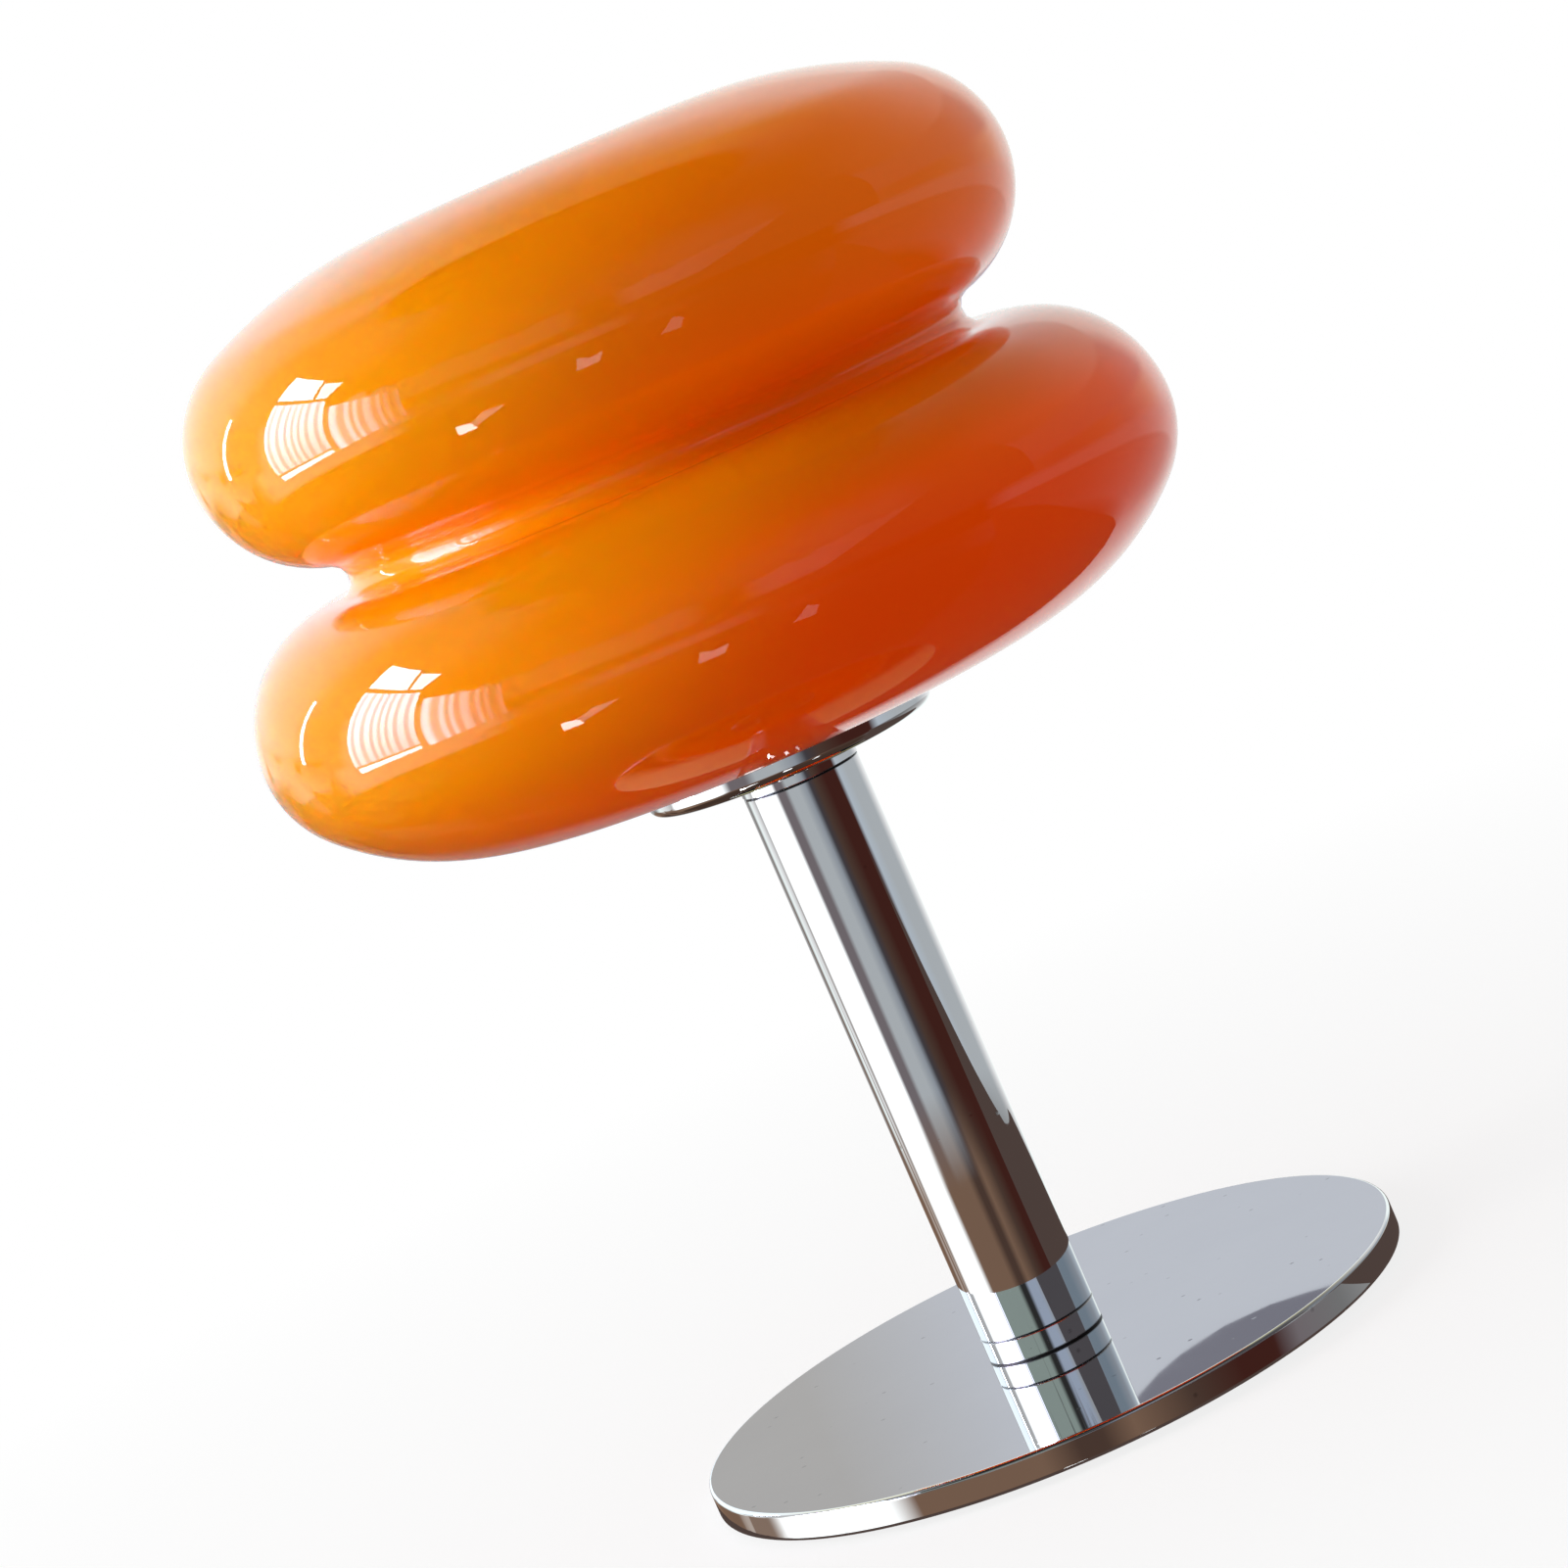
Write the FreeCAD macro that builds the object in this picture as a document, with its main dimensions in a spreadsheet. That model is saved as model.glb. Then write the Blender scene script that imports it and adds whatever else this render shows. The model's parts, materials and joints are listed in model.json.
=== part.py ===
import FreeCAD, Part
import math
import os
import re

import Sketcher

# Bedside table lamp: a chromed disc base, a straight tube stem and a dish-shaped gallery
# that carries a closed-top glass shade of two round lobes with a waist between them.
# Inside are an E14 lampholder, its wiring and a golf-ball bulb.
# Millimetres, +Z up, origin at the centre of the face that the lamp stands on.

SIZES = {
    # Base
    "pad_diameter": 140.0,
    "pad_thickness": 1.5,
    "base_diameter": 152.0,
    "base_thickness": 6.0,
    "base_edge_radius": 0.8,
    "screw_diameter": 6.0,
    "screw_length": 14.0,
    "screw_head_diameter": 12.0,
    "screw_head_height": 2.4,
    "screw_socket_width": 4.0,
    "screw_socket_depth": 1.4,
    "screw_head_room": 0.2,
    "washer_diameter": 18.0,
    "washer_thickness": 1.2,
    # Stem and its two end collars
    "stem_diameter": 25.0,
    "stem_wall": 1.2,
    "stem_length": 122.5,
    "foot_collar_height": 5.2,
    "top_collar_height": 4.0,
    "top_collar_proud": 0.15,
    "spigot_length": 12.0,
    "joint_chamfer": 0.3,
    # Cord inlet at the back of the stem
    "inlet_rise": 9.0,
    "inlet_hole_diameter": 9.0,
    "cord_diameter": 6.0,
    "grommet_flange_diameter": 11.5,
    "grommet_flange_thickness": 1.6,
    "grommet_lip_diameter": 10.6,
    "grommet_lip_thickness": 2.0,
    "grommet_edge_radius": 0.5,
    # Gallery, its clips and its clamping nut
    "gallery_diameter": 62.0,
    "gallery_height": 6.3,
    "gallery_floor": 2.6,
    "gallery_lower_radius": 2.0,
    "gallery_upper_radius": 0.6,
    "gallery_rim_inset": 1.0,
    "gasket_thickness": 0.8,
    "gasket_margin": 0.6,
    "clip_width": 8.0,
    "clip_thickness": 0.5,
    "clip_foot_length": 12.5,
    "clip_bend_radius": 1.0,
    "clip_grip": 5.0,
    "clip_lead_in": 4.0,
    "clip_lead_in_depth": 2.5,
    "clip_count": 3.0,
    "clip_screw_circle": 34.0,
    "clip_screw_diameter": 3.0,
    "clip_screw_depth": 1.8,
    "clip_screw_head_diameter": 5.6,
    "clip_screw_head_height": 1.8,
    "nipple_diameter": 10.0,
    "nipple_bore": 7.0,
    "nipple_in_holder": 3.6,
    "lock_washer_diameter": 18.0,
    "lock_washer_thickness": 1.0,
    "lock_nut_width": 14.0,
    "lock_nut_thickness": 3.5,
    # Lampholder
    "holder_diameter": 25.0,
    "holder_mouth_diameter": 23.0,
    "holder_wall": 1.8,
    "holder_boss_diameter": 15.0,
    "holder_cone_height": 5.5,
    "holder_cap_floor": 4.0,
    "holder_cap_height": 12.0,
    "holder_ledge": 1.4,
    "insulator_thickness": 6.0,
    "holder_skirt_height": 22.0,
    "shell_bore": 14.2,
    "shell_wall": 0.4,
    "shell_floor_hole": 9.0,
    "shell_below_mouth": 1.5,
    "contact_width": 3.0,
    "contact_thickness": 0.4,
    "contact_rise": 2.4,
    "contact_tip": 1.8,
    "contact_foot": 1.4,
    # Inner wiring
    "lead_diameter": 2.0,
    "lead_bend_radius": 6.0,
    "lead_spread_holder": 3.2,
    "lead_spread_nipple": 1.35,
    "lead_spread_splice": 2.6,
    "lead_tail": 1.5,
    "splice_rise": 14.0,
    "splice_width": 11.0,
    "splice_depth": 8.0,
    "splice_height": 18.0,
    "splice_entry_diameter": 3.2,
    "splice_entry_depth": 6.0,
    "splice_edge_radius": 0.6,
    # Bulb
    "bulb_gap": 0.3,
    "bulb_contact_diameter": 4.8,
    "bulb_contact_height": 1.0,
    "bulb_insulator_height": 3.0,
    "bulb_cap_diameter": 13.4,
    "bulb_cap_wall": 0.4,
    "bulb_cap_height": 17.0,
    "bulb_cap_mouth": 9.6,
    "bulb_collar_lower_diameter": 15.0,
    "bulb_collar_band": 2.0,
    "bulb_collar_height": 15.0,
    "bulb_collar_rim": 1.2,
    "bulb_globe_diameter": 45.0,
    "bulb_globe_wall": 1.2,
    "bulb_globe_neck": 28.0,
    # Glass shade, outside faces; heights go up from its seat
    "glass_wall": 3.0,
    "neck_diameter": 50.0,
    "under_flat_diameter": 108.0,
    "under_belly": 9.4,
    "lower_lobe_diameter": 198.0,
    "lower_side_radius": 22.6,
    "lower_to_waist": 30.5,
    "waist_diameter": 134.2,
    "waist_radius": 3.6,
    "waist_to_upper": 28.1,
    "upper_lobe_diameter": 177.0,
    "upper_side_radius": 24.6,
    "crown_rise": 7.2,
    "crown_flat_diameter": 63.5,
    # Clearances
    "hole_clearance": 0.3,
    "thread_clearance": 0.05,
    "fit_clearance": 0.05,
    "sliding_clearance": 0.3,
}

doc = FreeCAD.newDocument("BedsideLamp")
sheet = doc.addObject("Spreadsheet::Sheet", "Sizes")
for row, (name, value) in enumerate(SIZES.items(), start=1):
    sheet.set(f"A{row}", name)
    sheet.set(f"B{row}", str(value))
    sheet.setAlias(f"B{row}", name)
doc.recompute()


# Expressions name the sizes by their aliases alone; these two functions complete them.

def expression(text):
    return re.sub(r"[a-z_]+", lambda word: "Sizes." + word[0] if word[0] in SIZES else word[0], text)


def number(text):
    return float(sheet.evalExpression(expression(text)))


def bind(item, **formulas):
    for key, text in formulas.items():
        item.setExpression(key.replace("__", "."), expression(text))


# Heights where one piece ends and the next begins

BASE_TOP = "(pad_thickness + base_thickness)"
STEM_LOW = f"({BASE_TOP} + foot_collar_height)"
STEM_TOP = f"({STEM_LOW} + stem_length)"
GALLERY_LOW = f"({STEM_TOP} + top_collar_height)"
GALLERY_FLOOR = f"({GALLERY_LOW} + gallery_floor)"
GALLERY_TOP = f"({GALLERY_LOW} + gallery_height)"
GLASS_LOW = f"({GALLERY_TOP} + gasket_thickness)"
NUT_LOW = f"({GALLERY_FLOOR} + lock_washer_thickness)"
HOLDER_LOW = f"({NUT_LOW} + lock_nut_thickness)"
CAP_TOP = f"({HOLDER_LOW} + holder_cap_height)"
INSULATOR_LOW = f"({CAP_TOP} - insulator_thickness / 2)"
INSULATOR_TOP = f"({CAP_TOP} + insulator_thickness / 2)"
HOLDER_TOP = f"({INSULATOR_TOP} + holder_skirt_height)"
BULB_LOW = f"({INSULATOR_TOP} + contact_rise + bulb_gap)"
BULB_CAP_LOW = f"({BULB_LOW} + bulb_contact_height + bulb_insulator_height)"
BULB_CAP_TOP = f"({BULB_CAP_LOW} + bulb_cap_height)"
BULB_NECK = f"({BULB_CAP_TOP} + bulb_collar_height)"
INLET_HEIGHT = f"({STEM_LOW} + spigot_length + inlet_rise)"
SPLICE_LOW = f"({INLET_HEIGHT} + splice_rise)"
SPLICE_TOP = f"({SPLICE_LOW} + splice_height)"

# Radii that several pieces share

STEM_RADIUS = "(stem_diameter / 2)"
STEM_BORE = "(stem_diameter / 2 - stem_wall)"
NIPPLE_HOLE = "(nipple_diameter / 2 + thread_clearance)"
NECK_RADIUS = "(neck_diameter / 2)"
RIM_INNER = f"({NECK_RADIUS} + gallery_rim_inset)"
HOLDER_RADIUS = "(holder_diameter / 2)"
HOLDER_BORE = "(holder_diameter / 2 - holder_wall)"
SHELL_RADIUS = "(shell_bore / 2)"


# Bodies, sketches and features

UPRIGHT = FreeCAD.Vector(0, 0, 1)

# Sketcher's numbers for a sketch's two axes and for the points of a curve
H_AXIS, V_AXIS = range(-1, -3, -1)
START, END, CENTRE = range(1, 4)


def new_body(label):
    body = doc.addObject("PartDesign::Body", label)
    body.Label = label
    return body


def origin_feature(body, role):
    return next(item for item in body.Origin.OriginFeatures if item.Role == role)


def new_sketch(body, name, role, height=None):
    sketch = body.newObject("Sketcher::SketchObject", f"{body.Name}_{name}")
    sketch.AttachmentSupport = [(origin_feature(body, role), "")]
    sketch.MapMode = "FlatFace"
    if height:
        bind(sketch, AttachmentOffset__Base__z=height)
    return sketch


def join(sketch, kind, first, first_end, second, second_end):
    sketch.addConstraint(Sketcher.Constraint(kind, first, first_end, second, second_end))


def place_x(sketch, curve, end, text):
    if number(text) == 0:
        sketch.addConstraint(Sketcher.Constraint("PointOnObject", curve, end, V_AXIS))
        return
    rule = sketch.addConstraint(
        Sketcher.Constraint("DistanceX", H_AXIS, START, curve, end, number(text)))
    sketch.setExpression(f"Constraints[{rule}]", expression(text))


def place_y(sketch, curve, end, text):
    if number(text) == 0:
        sketch.addConstraint(Sketcher.Constraint("PointOnObject", curve, end, H_AXIS))
        return
    rule = sketch.addConstraint(
        Sketcher.Constraint("DistanceY", H_AXIS, START, curve, end, number(text)))
    sketch.setExpression(f"Constraints[{rule}]", expression(text))


def set_radius(sketch, curve, text):
    rule = sketch.addConstraint(Sketcher.Constraint("Radius", curve, number(text)))
    sketch.setExpression(f"Constraints[{rule}]", expression(text))


def add_line(sketch, start, end):
    return sketch.addGeometry(Part.LineSegment(start, end), False)


def add_arc(sketch, centre, radius, low_angle, high_angle):
    circle = Part.Circle(centre, UPRIGHT, radius)
    return sketch.addGeometry(Part.ArcOfCircle(circle, low_angle, high_angle), False)


def draw_outline(sketch, corners):
    """Closed outline of straight lines through corners, each a pair of expressions."""
    points = [FreeCAD.Vector(number(across), number(up)) for across, up in corners]
    for start, end in zip(points, points[1:] + points[:1]):
        add_line(sketch, start, end)
    for line, (across, up) in enumerate(corners):
        join(sketch, "Coincident", line, END, (line + 1) % len(corners), START)
        place_x(sketch, line, START, across)
        place_y(sketch, line, START, up)


def draw_circle(sketch, across, up, radius):
    centre = FreeCAD.Vector(number(across), number(up))
    circle = sketch.addGeometry(Part.Circle(centre, UPRIGHT, number(radius)), False)
    place_x(sketch, circle, CENTRE, across)
    place_y(sketch, circle, CENTRE, up)
    set_radius(sketch, circle, radius)


def revolve(body, sketch, kind="PartDesign::Revolution", role="V_Axis"):
    feature = body.newObject(kind, f"{sketch.Name}_turned")
    feature.Profile = sketch
    feature.ReferenceAxis = (sketch, [role])
    feature.Angle = 360
    doc.recompute()
    return feature


def turn(label, corners):
    """Body turned about the lamp's axis from an outline of radius and height pairs."""
    body = new_body(label)
    sketch = new_sketch(body, "section", "XZ_Plane")
    draw_outline(sketch, corners)
    revolve(body, sketch)
    return body


def pad(body, sketch, length, both_ways=False):
    feature = body.newObject("PartDesign::Pad", f"{sketch.Name}_pad")
    feature.Profile = sketch
    feature.Midplane = both_ways
    bind(feature, Length=length)
    doc.recompute()
    return feature


def cut(body, sketch, length, backwards=False):
    """Pocket that has to take material away."""
    before = body.Shape.Volume
    feature = body.newObject("PartDesign::Pocket", f"{sketch.Name}_cut")
    feature.Profile = sketch
    feature.Reversed = backwards
    bind(feature, Length=length)
    doc.recompute()
    if body.Shape.Volume >= before:
        raise RuntimeError(f"{feature.Name} cuts nothing")
    return feature


def repeat_round(body, feature, count):
    pattern = body.newObject("PartDesign::PolarPattern", f"{feature.Name}_round")
    pattern.Originals = [feature]
    pattern.Axis = (origin_feature(body, "Z_Axis"), [""])
    pattern.Angle = 360
    bind(pattern, Occurrences=count)
    body.Tip = pattern
    doc.recompute()


def soften(body, kind, size, text, chosen):
    """Fillet or chamfer on the edges of the body's last feature that chosen accepts."""
    base = body.Tip
    edges = [f"Edge{i}" for i, edge in enumerate(base.Shape.Edges, start=1) if chosen(edge)]
    feature = body.newObject(kind, f"{base.Name}_soft")
    feature.Base = (base, edges)
    bind(feature, **{size: text})
    doc.recompute()


def fillet(body, text, chosen):
    soften(body, "PartDesign::Fillet", "Radius", text, chosen)


def chamfer(body, text, chosen):
    soften(body, "PartDesign::Chamfer", "Size", text, chosen)


def near(value, text):
    return abs(value - number(text)) < 1e-4


def ring(radius, height):
    """Test for the round edge at this radius and height on the lamp's axis."""
    def test(edge):
        curve = edge.Curve
        is_round = curve.TypeId == "Part::GeomCircle"
        return is_round and near(curve.Radius, radius) and near(curve.Center.z, height)
    return test


def either(*tests):
    return lambda edge: any(test(edge) for test in tests)


def cylinder(name, radius, low, high):
    """Upright Part cylinder on the lamp's axis."""
    item = doc.addObject("Part::Cylinder", name)
    bind(item, Radius=radius, Height=f"{high} - {low}", Placement__Base__z=low)
    return item


def subtract(label, base, tool):
    item = doc.addObject("Part::Cut", label)
    item.Base = base
    item.Tool = tool
    item.Label = label
    doc.recompute()
    return item


def turned_about_axis(angle):
    return FreeCAD.Placement(FreeCAD.Vector(), FreeCAD.Rotation(UPRIGHT, angle))


# Base

HEAD_LOW = "(pad_thickness + screw_head_room)"
HEAD_TOP = f"({HEAD_LOW} + screw_head_height)"
RECESS_TOP = f"({HEAD_TOP} + washer_thickness)"
SCREW_HOLE = "(screw_diameter / 2 + hole_clearance)"


def make_base_pad():
    return turn("base_pad", [
        ("0", "0"),
        ("pad_diameter / 2", "0"),
        ("pad_diameter / 2", "pad_thickness"),
        ("0", "pad_thickness"),
    ])


def make_base_plate():
    """Disc with a hole for the screw and, underneath, a recess for its head and washer."""
    rim = "base_diameter / 2"
    recess = "washer_diameter / 2 + hole_clearance"
    body = turn("base_plate", [
        (recess, "pad_thickness"),
        (rim, "pad_thickness"),
        (rim, BASE_TOP),
        (SCREW_HOLE, BASE_TOP),
        (SCREW_HOLE, RECESS_TOP),
        (recess, RECESS_TOP),
    ])
    fillet(body, "base_edge_radius", either(ring(rim, BASE_TOP), ring(rim, "pad_thickness")))
    return body


def make_base_washer():
    return turn("base_washer", [
        (SCREW_HOLE, HEAD_TOP),
        ("washer_diameter / 2", HEAD_TOP),
        ("washer_diameter / 2", RECESS_TOP),
        (SCREW_HOLE, RECESS_TOP),
    ])


def make_base_screw():
    """Low-headed screw, put in from below, with a hexagon socket in its head."""
    shank = "screw_diameter / 2"
    head = "screw_head_diameter / 2"
    solid = turn("base_screw_blank", [
        ("0", HEAD_LOW),
        (head, HEAD_LOW),
        (head, HEAD_TOP),
        (shank, HEAD_TOP),
        (shank, f"{HEAD_TOP} + screw_length"),
        ("0", f"{HEAD_TOP} + screw_length"),
    ])
    socket = doc.addObject("Part::Prism", "base_screw_socket")
    socket.Polygon = 6
    bind(socket, Circumradius="screw_socket_width / sqrt(3)", Height="screw_socket_depth",
         Placement__Base__z=HEAD_LOW)
    return subtract("base_screw", solid, socket)


# Stem

def make_foot_collar():
    """Turned ring with a spigot up the stem and a tapped hole for the base screw."""
    spigot = f"{STEM_BORE} - fit_clearance"
    hole = "screw_diameter / 2 + thread_clearance"
    body = turn("foot_collar", [
        (hole, BASE_TOP),
        (STEM_RADIUS, BASE_TOP),
        (STEM_RADIUS, STEM_LOW),
        (spigot, STEM_LOW),
        (spigot, f"{STEM_LOW} + spigot_length"),
        (hole, f"{STEM_LOW} + spigot_length"),
    ])
    chamfer(body, "joint_chamfer", ring(STEM_RADIUS, STEM_LOW))
    return body


def make_stem_tube():
    """Straight tube, its ends broken at the joints, with a round hole at the back for the cord."""
    body = turn("stem_tube", [
        (STEM_BORE, STEM_LOW),
        (STEM_RADIUS, STEM_LOW),
        (STEM_RADIUS, STEM_TOP),
        (STEM_BORE, STEM_TOP),
    ])
    chamfer(body, "joint_chamfer", either(ring(STEM_RADIUS, STEM_LOW), ring(STEM_RADIUS, STEM_TOP)))
    hole = new_sketch(body, "inlet", "XZ_Plane")
    draw_circle(hole, "0", INLET_HEIGHT, "inlet_hole_diameter / 2")
    cut(body, hole, "stem_diameter")
    return body


def make_cord_grommet():
    """Rubber bush: an outer flange and an inner lip that hold the stem's wall between them."""
    flange = "grommet_flange_diameter / 2"
    lip = "grommet_lip_diameter / 2"
    bore = "cord_diameter / 2 + thread_clearance"
    outer_end = f"{STEM_RADIUS} + grommet_flange_thickness"
    inner_end = f"{STEM_BORE} - grommet_lip_thickness"
    body = new_body("grommet_spool")
    section = new_sketch(body, "section", "YZ_Plane")
    draw_outline(section, [
        (inner_end, bore),
        (outer_end, bore),
        (outer_end, flange),
        (STEM_BORE, flange),
        (STEM_BORE, lip),
        (inner_end, lip),
    ])
    revolve(body, section, role="H_Axis")
    fillet(body, "grommet_edge_radius", lambda edge: near(edge.BoundBox.YMin, outer_end)
           and near(edge.BoundBox.XMax, flange))
    bind(body, Placement__Base__z=INLET_HEIGHT)
    low = f"({INLET_HEIGHT} - grommet_flange_diameter)"
    high = f"({INLET_HEIGHT} + grommet_flange_diameter)"
    wall = subtract("grommet_wall_ring",
                    cylinder("grommet_wall_outside", f"{STEM_RADIUS} + fit_clearance", low, high),
                    cylinder("grommet_wall_inside", f"{STEM_BORE} - fit_clearance", low, high))
    neck = doc.addObject("Part::Cylinder", "grommet_neck")
    neck.Placement.Rotation = FreeCAD.Rotation(FreeCAD.Vector(1, 0, 0), -90)
    bind(neck, Radius="inlet_hole_diameter / 2 - fit_clearance", Height="stem_diameter",
         Placement__Base__z=INLET_HEIGHT)
    groove = subtract("grommet_groove", wall, neck)
    return subtract("cord_grommet", body, groove)


def make_top_collar():
    """Turned ring with a spigot down the stem and a tapped hole for the hollow nipple."""
    spigot = f"{STEM_BORE} - fit_clearance"
    outside = f"{STEM_RADIUS} + top_collar_proud"
    body = turn("top_collar", [
        (NIPPLE_HOLE, f"{STEM_TOP} - spigot_length"),
        (spigot, f"{STEM_TOP} - spigot_length"),
        (spigot, STEM_TOP),
        (outside, STEM_TOP),
        (outside, GALLERY_LOW),
        (NIPPLE_HOLE, GALLERY_LOW),
    ])
    chamfer(body, "joint_chamfer", either(ring(outside, STEM_TOP), ring(outside, GALLERY_LOW)))
    return body


# Gallery

def make_gallery_plate():
    """Shallow dish: its rim carries the glass, its floor the clips and the clamping nut."""
    outside = "gallery_diameter / 2"
    body = turn("gallery_plate", [
        (NIPPLE_HOLE, GALLERY_LOW),
        (outside, GALLERY_LOW),
        (outside, GALLERY_TOP),
        (RIM_INNER, GALLERY_TOP),
        (RIM_INNER, GALLERY_FLOOR),
        (NIPPLE_HOLE, GALLERY_FLOOR),
    ])
    fillet(body, "gallery_lower_radius", ring(outside, GALLERY_LOW))
    fillet(body, "gallery_upper_radius", ring(outside, GALLERY_TOP))
    tapped = new_sketch(body, "tapped_hole", "XY_Plane", height=GALLERY_FLOOR)
    draw_circle(tapped, "clip_screw_circle / 2", "0", "clip_screw_diameter / 2 + thread_clearance")
    hole = cut(body, tapped, "clip_screw_depth")
    repeat_round(body, hole, "clip_count")
    return body


def make_gallery_gasket():
    inner = f"{RIM_INNER} + gasket_margin"
    outer = "gallery_diameter / 2 - gallery_upper_radius - gasket_margin"
    return turn("gallery_gasket", [
        (inner, GALLERY_TOP),
        (outer, GALLERY_TOP),
        (outer, GLASS_LOW),
        (inner, GLASS_LOW),
    ])


def make_glass_clip(label, angle):
    """Leaf spring: a foot on the gallery's floor and a flat leg that centres the glass's neck."""
    face = f"sqrt(pow({NECK_RADIUS} - sliding_clearance; 2) - pow(clip_width / 2; 2))"
    back = f"({face} - clip_thickness)"
    foot_end = f"({face} - clip_foot_length)"
    foot_top = f"({GALLERY_FLOOR} + clip_thickness)"
    grip_top = f"({GLASS_LOW} + glass_wall + clip_grip)"
    tip = f"({grip_top} + clip_lead_in)"
    body = new_body(label)
    section = new_sketch(body, "section", "XZ_Plane")
    draw_outline(section, [
        (foot_end, GALLERY_FLOOR),
        (face, GALLERY_FLOOR),
        (face, grip_top),
        (f"{face} - clip_lead_in_depth", tip),
        (f"{back} - clip_lead_in_depth", tip),
        (back, grip_top),
        (back, foot_top),
        (foot_end, foot_top),
    ])
    pad(body, section, "clip_width", both_ways=True)
    fillet(body, "clip_bend_radius", lambda edge: near(edge.BoundBox.XMin, back)
           and near(edge.BoundBox.XMax, back) and near(edge.BoundBox.ZMin, foot_top)
           and near(edge.BoundBox.ZMax, foot_top))
    fillet(body, "clip_bend_radius + clip_thickness", lambda edge: near(edge.BoundBox.XMin, face)
           and near(edge.BoundBox.XMax, face) and near(edge.BoundBox.ZMax, GALLERY_FLOOR))
    hole = new_sketch(body, "screw_hole", "XY_Plane", height=foot_top)
    draw_circle(hole, "clip_screw_circle / 2", "0", "clip_screw_diameter / 2 + hole_clearance")
    cut(body, hole, "clip_thickness * 2")
    body.Placement = turned_about_axis(angle)
    return body


def make_clip_screw(name, angle):
    """Pan-headed screw that holds a clip's foot down."""
    seat = f"({GALLERY_FLOOR} + clip_thickness)"
    shank = "clip_screw_diameter / 2"
    head = "clip_screw_head_diameter / 2"
    foot = f"{GALLERY_FLOOR} - clip_screw_depth"
    top = f"{seat} + clip_screw_head_height"
    body = turn(name, [
        ("0", foot),
        (shank, foot),
        (shank, seat),
        (head, seat),
        (head, top),
        ("0", top),
    ])
    fillet(body, "clip_screw_head_height / 2", ring(head, top))
    offset = FreeCAD.Vector(number("clip_screw_circle / 2"), 0, 0)
    body.Placement = turned_about_axis(angle).multiply(FreeCAD.Placement(offset, FreeCAD.Rotation()))
    return body


def clip_angles():
    count = round(number("clip_count"))
    return [360 * step / count for step in range(count)]


def make_clip_screws():
    group = doc.addObject("Part::Compound", "clip_screws")
    group.Links = [make_clip_screw(f"clip_screw_{step}", angle)
                   for step, angle in enumerate(clip_angles(), start=1)]
    group.Label = "clip_screws"
    doc.recompute()
    return group


def make_nipple():
    """Hollow threaded tube from the top collar, through the gallery, into the holder's cap."""
    low = f"{STEM_TOP} - spigot_length"
    high = f"{HOLDER_LOW} + nipple_in_holder"
    return turn("nipple", [
        ("nipple_bore / 2", low),
        ("nipple_diameter / 2", low),
        ("nipple_diameter / 2", high),
        ("nipple_bore / 2", high),
    ])


def make_lock_washer():
    return turn("lock_washer", [
        (NIPPLE_HOLE, GALLERY_FLOOR),
        ("lock_washer_diameter / 2", GALLERY_FLOOR),
        ("lock_washer_diameter / 2", NUT_LOW),
        (NIPPLE_HOLE, NUT_LOW),
    ])


def make_lock_nut():
    hexagon = doc.addObject("Part::Prism", "lock_nut_hexagon")
    hexagon.Polygon = 6
    bind(hexagon, Circumradius="lock_nut_width / sqrt(3)", Height="lock_nut_thickness",
         Placement__Base__z=NUT_LOW)
    return subtract("lock_nut", hexagon, cylinder("lock_nut_hole", NIPPLE_HOLE, NUT_LOW, HOLDER_LOW))


# Lampholder

def make_holder_cap():
    """Lower half of the lampholder: a tapped boss that widens to a cup for the insulator."""
    boss = "holder_boss_diameter / 2"
    shoulder = f"{HOLDER_LOW} + holder_cone_height"
    inner = f"{HOLDER_BORE} - holder_ledge"
    return turn("holder_cap", [
        (NIPPLE_HOLE, HOLDER_LOW),
        (boss, HOLDER_LOW),
        (HOLDER_RADIUS, shoulder),
        (HOLDER_RADIUS, CAP_TOP),
        (HOLDER_BORE, CAP_TOP),
        (HOLDER_BORE, INSULATOR_LOW),
        (inner, INSULATOR_LOW),
        (inner, f"{shoulder} + holder_wall"),
        (f"{boss} - holder_wall / 2", f"{HOLDER_LOW} + holder_cap_floor"),
        (NIPPLE_HOLE, f"{HOLDER_LOW} + holder_cap_floor"),
    ])


def make_holder_body():
    """Upper half: a skirt that tapers to the mouth, with a ledge that holds the insulator down."""
    mouth = "holder_mouth_diameter / 2"
    return turn("holder_body", [
        (HOLDER_BORE, CAP_TOP),
        (HOLDER_RADIUS, CAP_TOP),
        (HOLDER_RADIUS, INSULATOR_TOP),
        (mouth, HOLDER_TOP),
        (f"{mouth} - holder_wall", HOLDER_TOP),
        (f"{HOLDER_BORE} - holder_ledge", f"{INSULATOR_TOP} + holder_wall"),
        (f"{HOLDER_BORE} - holder_ledge", INSULATOR_TOP),
        (HOLDER_BORE, INSULATOR_TOP),
    ])


def make_holder_insulator():
    """Porcelain disc that carries the two contacts, with a hole for each lead."""
    body = turn("holder_insulator", [
        ("0", INSULATOR_LOW),
        (f"{HOLDER_BORE} - fit_clearance", INSULATOR_LOW),
        (f"{HOLDER_BORE} - fit_clearance", INSULATOR_TOP),
        ("0", INSULATOR_TOP),
    ])
    entry = new_sketch(body, "lead_hole", "XY_Plane", height=INSULATOR_LOW)
    draw_circle(entry, "lead_spread_holder", "0", "lead_diameter / 2 + fit_clearance")
    hole = cut(body, entry, "insulator_thickness / 2", backwards=True)
    repeat_round(body, hole, "2")
    return body


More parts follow.
